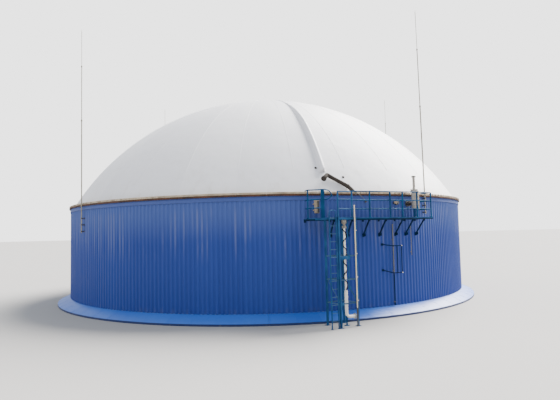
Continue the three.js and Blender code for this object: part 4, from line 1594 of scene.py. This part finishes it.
@dataclass
class Tower(Section):
    """The square lattice tower with its landing, landing railing and ladder, in its own frame."""

    angle: float = 12.85
    radius: float = 13.28
    turn: float = 30.4
    side: float = 0.86
    leg: float = 0.08
    leg_top: float = 4.209
    levels: Row = (0.92, 1.845, 2.77)
    mullion: Pair = (0.48, 1.46)
    ladder_right: float = -0.11
    ladder_width: float = 0.33
    rung_pitch: float = 0.305
    ladder_top: float = 4.45
    deck_top: float = 4.3
    deck_edge: float = 12.983
    rail_heights: Row = (5.326, 5.006, 4.636)
    rail_length: float = 0.72
    post_top: float = 5.347

    @property
    def frame(self) -> Place:
        """Give the tower's own frame: the near leg at 0, 0 and x along the front side."""
        half = self.side / 2
        middle = Matrix.Translation(around(self.angle, self.radius, 0.0))
        return middle @ turned(self.turn) @ shifted(-half, -half, 0.0)

    def _assembly(self, name: str) -> Assembly:
        """Start an assembly in the tower's own frame."""
        return Assembly(name, "platform_paint", self.finishes.tower, self.frame)

    def _tie(self, leg: float, thick: float) -> Part:
        """Model a tie's pattern in faded paint, whose lightness on the ties is also a painted highlight along
        their edges.
        """
        return self.stock.angle(leg, thick).dressed(self.finishes.faded)

    def build(self) -> None:
        """Build the four sides, the landing, its railing and the ladder."""
        self._legged_sides()
        self._braced_sides()
        self._landing()
        self._landing_railing()
        self._ladder()

    def _legged_sides(self) -> None:
        """Build the front and the rear side, each of two legs with their ties."""
        leg = self.stock.square(self.leg)
        base = self.stock.plate(0.18, 0.18, 0.012, 4)
        tie = self._tie(0.04, 0.005)
        half, far = self.leg / 2, self.side
        for side, y, tie_y in (("front", 0.0, 0.02), ("rear", far, far - 0.02)):
            piece = self._assembly(f"tower_{side}")
            for x in (0.0, far):
                piece.bar(leg, (x, y, 0.01), (x, y, self.leg_top))
                piece.add(base, shifted(x, y, 0.0) @ UPWARDS)
            for z in self.levels:
                piece.bar(tie, (half, tie_y, z - 0.02), (far - half, tie_y, z - 0.02))
            if side == "front":
                self._mullion(piece)
            piece.finish(f"tower_{side}_side")

    def _mullion(self, piece: Assembly) -> None:
        """Add the upright with its strut and gussets, and the two head ties.

        Args:
            piece: The front side.
        """
        x, foot = self.mullion
        low, high = self.levels[0], self.levels[2]
        gusset = self.stock.plate(0.11, 0.13, 0.006, 2)
        piece.bar(self.stock.angle(0.04, 0.005), (x - 0.02, 0.02, foot), (x - 0.02, 0.02, self.leg_top))
        piece.bar(self.stock.angle(0.03, 0.004), (x, -0.012, foot + 0.03),
                  (self.side - self.leg / 2, -0.012, low + 0.12))
        for x, z in ((x, foot + 0.05), (x, high - 0.04), (self.side - 0.07, low + 0.13), (0.07, low)):
            piece.add(gusset, shifted(x, -0.025, z))
        piece.add(self.stock.plate(0.46, 0.13, 0.006), shifted(0.27, -0.024, high - 0.07))
        for across in (0.0, self.side):
            self._cross_tie(piece, across, high)

    def _cross_tie(self, piece: Assembly, x: float, z: float) -> None:
        """Run a tie from the front side to the rear side."""
        near, far = self.leg / 2 + 0.001, self.side - self.leg / 2 - 0.001
        piece.bar(self._tie(0.04, 0.005), (x - 0.02, near, z - 0.02), (x - 0.02, far, z - 0.02))

    def _braced_sides(self) -> None:
        """Build the two lower ties and the diagonal on the left and on the right."""
        low, high = self.levels[:2]
        near = self.leg / 2 + 0.01
        diagonal = self._tie(0.03, 0.004)
        for side, x in (("left", 0.0), ("right", self.side)):
            piece = self._assembly(f"tower_{side}_ties")
            for z in (low, high):
                self._cross_tie(piece, x, z)
            piece.bar(diagonal, (x, near, low + 0.02), (x, self.side - near, high - 0.02))
            piece.finish(f"tower_{side}_bracing")

    def _landing(self) -> None:
        """Model a tray with a deck plate on it, cut to the walkway's curve."""
        reach = self.ladder_right - self.ladder_width - 0.04
        half, side = self.leg / 2, self.side
        notch = self.ladder_right + 0.08
        corners = [(notch, -half - 0.01), (side + half, -half - 0.01), (side + half, side),
                   (reach, side), (reach, 0.06), (notch, 0.06)]
        tray = self.stock.slab("landing", corners, self.deck_top - 0.09, 0.082)
        with tray.editing():
            tray.pick(Element.FACES, lambda middle, normal: normal.z < -0.9)
            bpy.ops.mesh.inset(thickness=0.006)
            tray.extrude(0.074)
        sheet = self.stock.slab("deck_plate", corners, self.deck_top - 0.006, 0.006)
        piece = self._assembly("landing_deck")
        cutter = Part.drum("walkway_curve", self.deck_edge, 3.5, 5.0, 720)
        for part in (tray, sheet):
            part.settle(self.frame).modified("BOOLEAN", operation="DIFFERENCE", object=cutter.thing)
            part.thing.matrix_world = self.frame.inverted()
            piece.add(part)
        cutter.discard()
        piece.finish("tower_landing")

    def _landing_railing(self) -> None:
        """Stand two posts over the front legs and run three rails between them."""
        piece = self._assembly("landing_railing")
        rail = self.stock.round(RAIL_RADIUS)
        low, height = self.deck_top, self.post_top - self.deck_top
        spots = [(shifted(x, 0, low), height) for x in (0.0, self.rail_length)]
        self.stock.stand(piece, 0.09, spots)
        for z in self.rail_heights:
            piece.bar(rail, (0, 0, z), (self.rail_length, 0, z))
        piece.finish("railing_landing")

    def _ladder(self) -> None:
        """Build two stiles, their rungs, the head hoop and the brackets to the tower."""
        piece = self._assembly("tower_ladder")
        stile = self.stock.square(0.024, 0.06, 0.004)
        rung = self.stock.round(0.0115, 10).dressed(self.finishes.faded)
        arm = self.stock.square(0.036, 0.036, 0.004)
        foot = self.stock.plate(0.08, 0.12, 0.008, 2)
        right, top = self.ladder_right, self.ladder_top
        left = right - self.ladder_width
        for x in (left, right):
            piece.bar(stile, (x, 0, 0.006), (x, 0, top))
            piece.add(foot, shifted(x, 0, 0.0) @ UPWARDS)
        for i in range(int((top - 0.01) / self.rung_pitch)):
            z = (i + 1) * self.rung_pitch
            piece.bar(rung, (left - 0.01, 0, z), (right + 0.01, 0, z))
        hoop = ((left, 0, top - 0.01), (left + 0.03, 0, top + 0.09), ((left + right) / 2, 0, top + 0.13),
                (right - 0.03, 0, top + 0.09), (right, 0, top - 0.01))
        piece.add(Part.tube("hoop", smooth_path(hoop, 6), 0.0175, 12))
        for z in self.levels:
            piece.bar(arm, (right, 0, z + 0.09), (-self.leg / 2, 0, z + 0.09))
        piece.finish("ladder")


@dataclass
class ControlBox(Section):
    """The beige box on the wall: a body with a door, a rain hood, a latch and cable glands."""

    angle: float = 9.9
    radius: float = 12.32
    width: float = 0.205
    depth: float = 0.16
    low: float = 4.522
    high: float = 5.078

    def build(self) -> None:
        """Model the box at the origin and hang it on the wall."""
        frame = on_wall(self.angle, self.radius)
        box = Assembly("equipment_box", "box_beige", self.finishes.beige, frame)
        middle, tall = (self.low + self.high) / 2, self.high - self.low
        side, front = self.width / 2, -self.depth / 2
        size = (self.width - 0.01, self.depth - 0.02, tall - 0.02)
        body = Part.block("body", size, (0, 0.004, middle), 0.004)
        with body.editing():
            body.pick(Element.FACES, lambda place, normal: normal.y < -0.9)
            for edge, depth in ((0.01, -0.004), (0.004, 0.01), (0.012, 0.002)):
                bpy.ops.mesh.inset(thickness=edge, depth=depth)
        box.add(body)
        hood = Part.block("hood", (self.width, self.depth, 0.016), (0, 0, self.high - 0.01), 0.002)
        with hood.editing():
            hood.pick(Element.POINTS, lambda co, normal: co.y < 0)
            bpy.ops.transform.translate(value=(0, 0, -0.012))
        box.add(hood)
        hinge = Part.drum("hinge", 0.006, -0.03, 0.03, 8, 0.001)
        for z in (self.low + 0.1, self.high - 0.12):
            box.add(hinge, shifted(0.004 - side, front + 0.004, z))
        rubber = self.finishes.rubber
        latch = Part.block("latch", (0.016, 0.014, 0.06), (side - 0.03, front - 0.002, middle), 0.003)
        box.add(latch.dressed(rubber))
        # A dark strip over the right of the box's front: painted shade of its right side.
        flap = Part.block("flap", (0.078, 0.01, tall - 0.05), (0.05, front + 0.006, middle), 0.002)
        box.add(flap.dressed(self.finishes.dark))
        gland = Part.lathe("gland", [(0, 0), (0.012, 0), (0.016, 0.006), (0.016, 0.02), (0, 0.02)], 10)
        for x in (-0.05, 0.0, 0.05):
            box.add(gland.dressed(rubber), shifted(x, 0.0, self.low - 0.012))
        arm = self.stock.square(0.04, 0.04)
        back = self.radius - WALL_FACE - 0.001
        for z in (4.67, 4.93):
            for x in (-0.07, 0.07):
                box.bar(arm, (x, -front - 0.02, z), (x, back, z))
        box.finish("control_box")


@dataclass
class ReliefValve(Section):
    """The pressure relief valve on its foot, with a flanged stack and a rain cap above it."""

    angle: float = 33.0
    radius: float = 12.45
    stub_height: float = 4.95
    side_angle: float = 1.3

    def build(self) -> None:
        """Build the body and the stack."""
        self._body()
        self._stack()

    def _body(self) -> None:
        """Turn the foot, the stem and the barrel, and run the stub back to the wall."""
        frame = on_wall(self.angle, self.radius)
        piece = Assembly("relief_valve", "galvanised_steel", self.finishes.valve, frame)
        foot = Part.lathe("foot", [
            (0, 4.301), (0.17, 4.301), (0.17, 4.325), (0.075, 4.33), (0.062, 4.345), (0.062, 4.69),
            (0, 4.69)], 24)
        piece.add(foot.dressed(self.finishes.tower))
        piece.add(Part.lathe("barrel", [
            (0, 4.68), (0.118, 4.682), (0.134, 4.698), (0.134, 4.84), (0.138, 4.844), (0.138, 4.86),
            (0.134, 4.864), (0.134, 5.37), (0.138, 5.374), (0.138, 5.39), (0.134, 5.394),
            (0.134, 5.48), (0.165, 5.49), (0.168, 5.494), (0.168, 5.544), (0.165, 5.548),
            (0, 5.548)], 32))
        self.stock.bolt_circle(piece, 8, 0.12, shifted(0, 0, 4.325))
        self.stock.bolt_circle(piece, 12, 0.15, shifted(0, 0, 5.492) @ UPSIDE_DOWN)
        back, level = self.radius - WALL_FACE, self.stub_height
        dark = self.finishes.dark
        stub = self.stock.round(0.08, 20).dressed(dark)
        piece.bar(stub, (0, 0.1, level), (0, back + 0.02, level))
        ring = Part.lathe("wall_flange", [
            (0, 0), (0.125, 0), (0.128, 0.003), (0.128, 0.015), (0.125, 0.018), (0, 0.018)], 24)
        face = shifted(0, back, level) @ OUTWARDS
        piece.add(ring.dressed(dark), face, face @ shifted(0, 0, 0.14))
        self.stock.bolt_circle(piece, 8, 0.106, face @ shifted(0, 0, 0.018))
        side = Part.lathe("side_pipe", [
            (0, 4.662), (0.026, 4.662), (0.031, 4.67), (0.031, 5.465), (0.037, 5.47),
            (0.037, 5.514), (0.033, 5.519), (0, 5.519)], 16)
        place = frame.inverted() @ on_wall(self.angle + self.side_angle, self.radius)
        piece.add(side.dressed(self.finishes.cream), place)
        away = self.radius * radians(self.side_angle)
        piece.bar(self.stock.round(0.029, 12), (0.1, 0, 4.85), (away - 0.02, 0, 4.85))
        piece.finish("safety_valve")

    def _stack(self) -> None:
        """Turn the stack with its flange and stand the rain cap on three rods."""
        frame = on_wall(self.angle, self.radius)
        piece = Assembly("relief_stack", "galvanised_steel", self.finishes.valve, frame)
        piece.add(Part.lathe("stack", [
            (0, 5.551), (0.165, 5.551), (0.168, 5.555), (0.168, 5.575), (0.165, 5.579),
            (0.085, 5.581), (0.07, 5.6), (0.06, 5.67), (0.06, 5.97), (0.064, 5.974), (0.064, 5.99),
            (0.06, 5.994), (0.06, 6.15), (0.052, 6.15), (0.052, 6.06), (0, 6.06)], 24))
        self.stock.bolt_circle(piece, 12, 0.15, shifted(0, 0, 5.579))
        cap = Part.lathe("rain_cap", [
            (0, 6.231), (0.02, 6.229), (0.098, 6.193), (0.104, 6.185), (0.104, 6.145), (0.1, 6.145),
            (0.098, 6.183), (0, 6.189)], 24)
        piece.add(cap.dressed(self.finishes.conduit))
        rod = self.stock.round(0.004, 6)
        for turn in (90.0, 210.0, 330.0):
            piece.bar(rod, around(turn, 0.056, 6.095), around(turn, 0.0672, 6.19))
        piece.finish("valve_stack")


@dataclass
class Risers(Section):
    """The insulated gas riser inside the tower and the cream pipe clipped to its right leg."""

    tower: Tower
    gas_place: Pair = (0.555, 0.33)
    cream_place: Pair = (0.775, -0.076)
    cream_clips: Row = (0.92, 1.845, 2.77, 3.695)
    cable_pitch: float = 0.66
    cable_level: float = 2.09
    cable_swing: Pair = (-120.0, 125.0)
    cable_steps: int = 150

    def build(self) -> None:
        """Build both pipes."""
        self._gas_riser()
        self._cream_pipe()

    def _gas_riser(self) -> None:
        """Turn the wrapped pipe, wind the cable round it, bend its foot and flange its ends."""
        frame = self.tower.frame @ shifted(*self.gas_place, 0.0)
        piece = Assembly("riser_pipe", "pipe_white", self.finishes.white, frame)
        wide, thin = 0.063, 0.04
        outline = [(0, 0.56), (0.06, 0.56), (0.064, 0.6)]
        for i in range(6):
            z = 0.66 + 0.116 * i
            outline += [(wide, z), (0.07, z + 0.006), (0.07, z + 0.052), (wide, z + 0.058)]
        outline += [(wide, 1.375), (thin, 1.38)]
        for i in range(5):
            z = 1.75 + 0.42 * i
            outline += [(thin, z), (0.043, z + 0.004), (0.043, z + 0.03), (thin, z + 0.034)]
        piece.add(Part.lathe("wrapped_pipe", [*outline, (thin, 3.86), (0, 3.86)], 20))
        head = Part.lathe("flanged_head", [
            (0, 3.858), (0.086, 3.862), (0.09, 3.868), (0.09, 3.952), (0.086, 3.96), (0.052, 3.966),
            (0.052, 4.058), (0.096, 4.062), (0.1, 4.068), (0.1, 4.104), (0.094, 4.11), (0.1, 4.116),
            (0.1, 4.202), (0.096, 4.208), (0, 4.208)], 24)
        piece.add(head.dressed(self.finishes.valve))
        piece.add(self._cable())
        bend = smooth_path(((0, 0, 0.64), (0, 0, 0.5), (0.03, 0, 0.4), (0.12, 0, 0.34),
                            (0.24, 0, 0.33), (0.42, 0, 0.33)), 5)
        piece.add(Part.tube("elbow", bend, wide, 16))
        flange = Part.lathe("foot_flange", [
            (0, 0), (0.112, 0), (0.116, 0.004), (0.116, 0.018), (0.112, 0.022), (0.066, 0.024),
            (0.062, 0.036), (0, 0.036)], 24)
        piece.add(flange.dressed(self.finishes.galvanised), shifted(0.405, 0, 0.33) @ SIDEWAYS,
                  shifted(0.438, 0, 0.33) @ SIDEWAYS.inverted())
        stand = Part.lathe("stand", [
            (0, 0), (0.108, 0), (0.108, 0.012), (0.037, 0.014), (0.034, 0.02), (0.034, 0.4),
            (0, 0.4)], 16)
        piece.add(stand.dressed(self.finishes.platform))
        piece.finish("gas_riser", smooth=45.0)

    def _cable(self) -> Part:
        """Wind a black cable to and fro round the pipe's front."""
        low, high = 1.42, 3.84
        middle, swing = (radians(angle) for angle in self.cable_swing)
        points = []
        for i in range(self.cable_steps + 1):
            z = low + (high - low) * i / self.cable_steps
            turn = middle + swing * sin(2 * pi * (z - self.cable_level) / self.cable_pitch)
            points.append(Vector((0.058 * cos(turn), 0.058 * sin(turn), z)))
        return Part.tube("wound_cable", points, 0.022, 8).dressed(self.finishes.cable)

    def _cream_pipe(self) -> None:
        """Turn a pipe with screwed sockets and hold it by clips."""
        x, y = self.cream_place
        frame = self.tower.frame @ shifted(x, y, 0.0)
        piece = Assembly("cream_riser", "pipe_cream", self.finishes.cream, frame)
        thin, thick = 0.0215, 0.0255
        outline = [(0, 0.72), (thin, 0.72)]
        for z in (1.22, 2.42, 3.62):
            outline += [(thin, z), (thick, z + 0.004), (thick, z + 0.066), (thin, z + 0.07)]
        outline += [(thin, 4.745), (thick, 4.75), (thick, 4.784), (0.022, 4.789), (0, 4.79)]
        piece.add(Part.lathe("pipe", outline, 16))
        boot = Part.lathe("boot", [
            (0, 0.0), (0.027, 0.0), (0.027, 0.02), (0.0235, 0.03), (0.0235, 0.67), (0.027, 0.675),
            (0.027, 0.725), (0.024, 0.73), (0, 0.73)], 16)
        piece.add(boot.dressed(self.finishes.dark))
        clip = Part.lathe("clip", [(0, 0), (0.03, 0), (0.03, 0.03), (0, 0.03)], 16)
        clip.dressed(self.finishes.galvanised)
        arm = self.stock.square(0.036, 0.006, 0.002)
        face, end = -self.tower.leg / 2 - 0.004 - y, self.tower.side + 0.02 - x
        for z in self.cream_clips:
            piece.add(clip, shifted(0, 0, z + 0.065))
            piece.bar(arm, (0.01, face, z + 0.08), (end, face, z + 0.08))
        piece.finish("cream_pipe")


@dataclass
class WallFittings(Section):
    """The conduit, the drain line, the stand-off frame and the gauge, all fixed to the wall."""

    pipes: tuple[tuple[str, str, float, float, float, Pair, Row, float], ...] = (
        ("wall_conduit", "conduit", 28.1, 12.05, 0.0225, (0.4, 4.02), (0.54, 1.92, 3.32), 1.78),
        ("drain_tube", "drain_line", 33.7, 12.045, 0.015, (2.57, 3.96), (2.72, 3.82), 0.0))

    def build(self) -> None:
        """Build each fitting."""
        self._pipes()
        self._standoff()
        self._sense_line()
        self._gauge()

    def _pipes(self) -> None:
        """Turn upright pipes with sockets, one darker over its lower part, and clip them to the wall."""
        arm = self.stock.square(0.022, 0.03, 0.003)
        foot = self.stock.plate(0.06, 0.05, 0.004)
        for name, node, angle, radius, size, (low, high), clips, dark_part_top in self.pipes:
            piece = Assembly(name, "galvanised_steel", self.finishes.conduit, on_wall(angle, radius))
            thick, back, skin = size * 1.25, radius - WALL_FACE, 0.001
            piece.add(Part.lathe("pipe", [
                (0, low), (thick, low), (thick, low + 0.09), (size, low + 0.1), (size, high - 0.07),
                (thick, high - 0.06), (thick, high), (0, high)], 14))
            # The conduit is darker over its lower part, a thin skin in the dark frame paint.
            if dark_part_top:
                boot = Part.lathe("boot", [
                    (0, low), (thick + skin, low), (thick + skin, low + 0.1), (size + skin, low + 0.11),
                    (size + skin, dark_part_top - 0.01), (size, dark_part_top), (0, dark_part_top)], 14)
                piece.add(boot.dressed(self.finishes.frame))
            wide = size + 0.004
            clip = Part.lathe("clip", [(0, 0), (wide, 0), (wide, 0.026), (0, 0.026)], 14)
            for z in clips:
                piece.add(clip, shifted(0, 0, z - 0.013))
                piece.bar(arm, (0, 0, z), (0, back, z))
                piece.add(foot, shifted(0, back, z))
            piece.finish(node)

    def _standoff(self) -> None:
        """Weld a frame of round bars and hold it off the wall on two arms."""
        piece = Assembly("standoff_bars", "platform_paint", self.finishes.frame)
        radius, wall, start, posts = 12.3, 25.3, 27.0, (28.1, 29.3)
        levels, feet = (1.85, 3.05), (1.975, 3.115)
        bar = self.stock.round(0.0195, 12)
        knob = self.stock.round(0.024, 12)
        plate = self.stock.plate(0.12, 0.1, 0.01, 4)
        plug = Part.drum("plug", 0.026, -0.02, 0.02, 12, 0.004).dressed(self.finishes.white)
        for angle in posts:
            piece.bar(bar, around(angle, radius, levels[0]), around(angle, radius, levels[1]))
        for z, foot in zip(levels, feet):
            elbow = around(start, radius + 0.01, z)
            end = around(posts[1] + 0.08, radius, z)
            piece.bar(bar, around(wall, WALL_FACE - 0.01, foot), elbow)
            piece.bar(bar, around(start - 0.05, radius, z), end)
            piece.bar(knob, elbow - UP * 0.03, elbow + UP * 0.03)
            piece.add(plate, on_wall(wall, WALL_FACE, foot))
            piece.add(plug, Matrix.Translation(end) @ turned(posts[1]) @ SIDEWAYS)
        piece.finish("standoff_frame")

    def _sense_line(self) -> None:
        """Run a thin line from a clip on the rim down to a clip on the wall."""
        piece = Assembly("thin_line", "galvanised_steel", self.finishes.conduit)
        radius, start, end, high, low = 12.11, 18.9, 21.4, 5.461, 5.02
        level = low + 0.005
        piece.bar(self.stock.round(0.0115, 10), around(start, radius, high), around(end, radius, low))
        piece.add(self.stock.plate(0.036, 0.148, 0.028), on_wall(start, 12.081, 5.388))
        arm = self.stock.square(0.036, 0.036, 0.003)
        piece.bar(arm, around(end, WALL_FACE, level), around(end, radius + 0.018, level))
        piece.add(self.stock.plate(0.07, 0.08, 0.006, 2), on_wall(end, WALL_FACE, level))
        piece.finish("sense_line")

    def _gauge(self) -> None:
        """Hold two round heads over a dark body on a short bracket."""
        height, back, apart = 4.985, 0.17, 0.064
        frame = on_wall(29.0, WALL_FACE + back)
        piece = Assembly("wall_gauge", "galvanised_steel", self.finishes.dark, frame)
        piece.bar(self.stock.square(0.048), (0, back, height), (0, 0.03, height))
        piece.add(self.stock.plate(0.1, 0.1, 0.008, 4), shifted(0, back, height))
        piece.add(self.stock.plate(0.11, 0.11, 0.07), shifted(0, 0.04, height - 0.05))
        head = Part.lathe("gauge_head", [
            (0, -0.05), (0.05, -0.05), (0.058, -0.04), (0.058, 0.03), (0.063, 0.034), (0.063, 0.048),
            (0.056, 0.05), (0.054, 0.04), (0, 0.04)], 28)
        for finish, x in ((self.finishes.conduit, apart), (self.finishes.beige, -apart)):
            piece.add(head.dressed(finish), shifted(x, 0, height) @ OUTWARDS)
        piece.finish("wall_instrument")


@dataclass
class Mast(Section):
    """A lightning mast of three tubes, each thinner than the one below, on three wall brackets."""

    name: str
    angle: float
    lean: float
    foot: float
    radius: float = 12.13
    straight: float = 5.0
    joints: Pair = (9.7, 12.5)
    tip: float = 14.43
    brackets: Row = (0.06, 0.39, 0.72)

    def build(self) -> None:
        """Turn the tubes with their sockets, lean them a little and strap them to the wall."""
        piece = Assembly(f"lightning_{self.name}", "galvanised_steel", self.finishes.mast,
                         on_wall(self.angle, self.radius))
        low, high = self.joints
        mast = Part.lathe("mast", [
            (0, self.foot), (0.03, self.foot), (0.03, self.straight), (0.03, low - 0.07),
            (0.041, low - 0.066), (0.042, low - 0.05), (0.042, low - 0.01), (0.04, low + 0.006),
            (0.022, low + 0.01), (0.022, high - 0.07), (0.034, high - 0.066), (0.036, high - 0.05),
            (0.036, high - 0.01), (0.033, high + 0.006), (0.013, high + 0.01),
            (0.013, self.tip - 0.12), (0.01, self.tip - 0.1), (0.002, self.tip), (0, self.tip)], 14)
        slope = self.radius * radians(self.lean) / (self.tip - self.straight)
        for point in mast.thing.data.vertices:
            point.co.x += slope * max(0.0, point.co.z - self.straight)
        piece.add(mast)
        back, dark = self.radius - WALL_FACE, self.finishes.dark
        arm = self.stock.square(0.046).dressed(dark)
        plate = self.stock.plate(0.08, 0.08, 0.01, 2).dressed(dark)
        strap = Part.block("strap", (0.082, 0.082, 0.046), (0, 0, 0), 0.004).dressed(dark)
        for step in self.brackets:
            z = self.foot + step + 0.02
            piece.bar(arm, (0, back, z), (0, 0.03, z))
            piece.add(plate, shifted(0, back, z))
            piece.add(strap, shifted(0, 0, z))
            piece.add(self.stock.bolt, *[shifted(x, -0.041, z) @ OUTWARDS for x in (-0.03, 0.03)])
        piece.finish(f"mast_{self.name}")


class Studio:
    """The camera at the photograph's place, a pale floor and soft light."""

    eye = Vector((0.0, -32.828, 3.795))
    lens = 31.71
    pitch = 0.06392
    roll = 0.02304
    yaw = 0.02778
    sky = ((0.83, 0.9, 1.0, 1.0), 1.35)
    backdrop = ((1.0, 1.0, 1.0, 1.0), 3.0)
    suns = (("sun_high", 20.0, 45.0, (-0.52, -0.48, -0.7), (1.0, 0.97, 0.93)),
            ("sun_low", 0.4, 7.0, (-1.0, 0.04, -0.1), (1.0, 0.92, 0.82)),
            ("fill_left", 0.7, 50.0, (1.0, 0.25, -0.35), (1.0, 0.94, 0.9)))

    def __init__(self) -> None:
        """Set up the camera, the floor and the lights."""
        self._camera()
        self._floor()
        self._sky()
        self._suns()

    @staticmethod
    def _placed(data: bpy.types.ID, place: Place) -> bpy.types.Object:
        """Put a camera or a lamp in the scene.

        Args:
            data: Its own data.
            place: Where it goes, looking along its -Z.

        Returns:
            The object.
        """
        thing = bpy.data.objects.new(data.name, data)
        thing.matrix_world = place
        bpy.context.scene.collection.objects.link(thing)
        return thing

    def _camera(self) -> None:
        """Aim the camera by its pitch, roll and yaw."""
        level = Vector((sin(self.yaw), cos(self.yaw), 0.0))
        right = Vector((cos(self.yaw), -sin(self.yaw), 0.0))
        forward = cos(self.pitch) * level + sin(self.pitch) * UP
        up = -sin(self.pitch) * level + cos(self.pitch) * UP
        cos_roll, sin_roll = cos(self.roll), sin(self.roll)
        right, up = cos_roll * right - sin_roll * up, sin_roll * right + cos_roll * up
        lens = bpy.data.cameras.new("camera")
        lens.lens = self.lens
        lens.sensor_width = 36.0
        lens.clip_end = 2000.0
        aim = Matrix((right, up, -forward)).transposed().to_4x4()
        bpy.context.scene.camera = self._placed(lens, Matrix.Translation(self.eye) @ aim)

    @staticmethod
    def _floor() -> None:
        """Lay a pale floor that isn't part of the tank."""
        floor = Part.new("studio_floor", bpy.ops.mesh.primitive_plane_add, size=900.0)
        with floor.editing():
            bpy.ops.transform.translate(value=(0, 0, -0.002))
            bpy.ops.mesh.subdivide(number_cuts=3)
        floor.dressed(StudioFloor().material())

    def _sky(self) -> None:
        """Light the tank from a pale sky, before a white backdrop."""
        world = bpy.data.worlds.new("studio_sky")
        world.use_nodes = True
        nodes, links = world.node_tree.nodes, world.node_tree.links
        sky, backdrop = nodes["Background"], nodes.new("ShaderNodeBackground")
        for shader, values in ((sky, self.sky), (backdrop, self.backdrop)):
            for name, value in zip(("Color", "Strength"), values):
                shader.inputs[name].default_value = value
        seen = nodes.new("ShaderNodeLightPath").outputs["Is Camera Ray"]
        mixed = nodes.new("ShaderNodeMixShader")
        for i, output in enumerate((seen, sky.outputs[0], backdrop.outputs[0])):
            links.new(output, mixed.inputs[i])
        links.new(mixed.outputs[0], nodes["World Output"].inputs[0])
        bpy.context.scene.world = world

    def _suns(self) -> None:
        """Add the broad suns."""
        for name, energy, size, aim, colour in self.suns:
            lamp = bpy.data.lights.new(name, "SUN")
            lamp.energy = energy
            lamp.angle = radians(size)
            lamp.color = colour
            self._placed(lamp, Vector(aim).to_track_quat("-Z", "Y").to_matrix().to_4x4())


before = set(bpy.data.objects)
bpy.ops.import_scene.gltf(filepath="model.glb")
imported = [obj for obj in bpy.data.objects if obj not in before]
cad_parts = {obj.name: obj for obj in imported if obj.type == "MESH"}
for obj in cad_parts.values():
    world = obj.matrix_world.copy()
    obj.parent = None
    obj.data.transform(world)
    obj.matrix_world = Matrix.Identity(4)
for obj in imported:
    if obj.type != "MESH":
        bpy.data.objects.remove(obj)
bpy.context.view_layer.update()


def main() -> None:
    """Build the tank piece by piece."""
    logging.basicConfig(level=logging.INFO, format="%(message)s")
    Studio()
    kit = Finishes(), Stock()
    dome, tower = Dome(*kit), Tower(*kit)
    masts = (("front_left", -50.0, -0.2, 3.95), ("front_right", 38.7, -0.85, 4.48),
             ("rear_right", 125.2, 0.0, 4.2), ("rear_left", -135.9, 0.0, 4.2))
    for section in (Base(*kit), Cladding(*kit), Flashing(*kit), EdgeRing(*kit), dome,
                    AirSleeve(*kit, dome), AirPipe(*kit, dome), Platform(*kit), tower,
                    ControlBox(*kit), ReliefValve(*kit), Risers(*kit, tower), WallFittings(*kit),
                    *(Mast(*kit, *mast) for mast in masts)):
        section.build()
    Part.clear_bench()


if __name__ == "__main__":
    main()
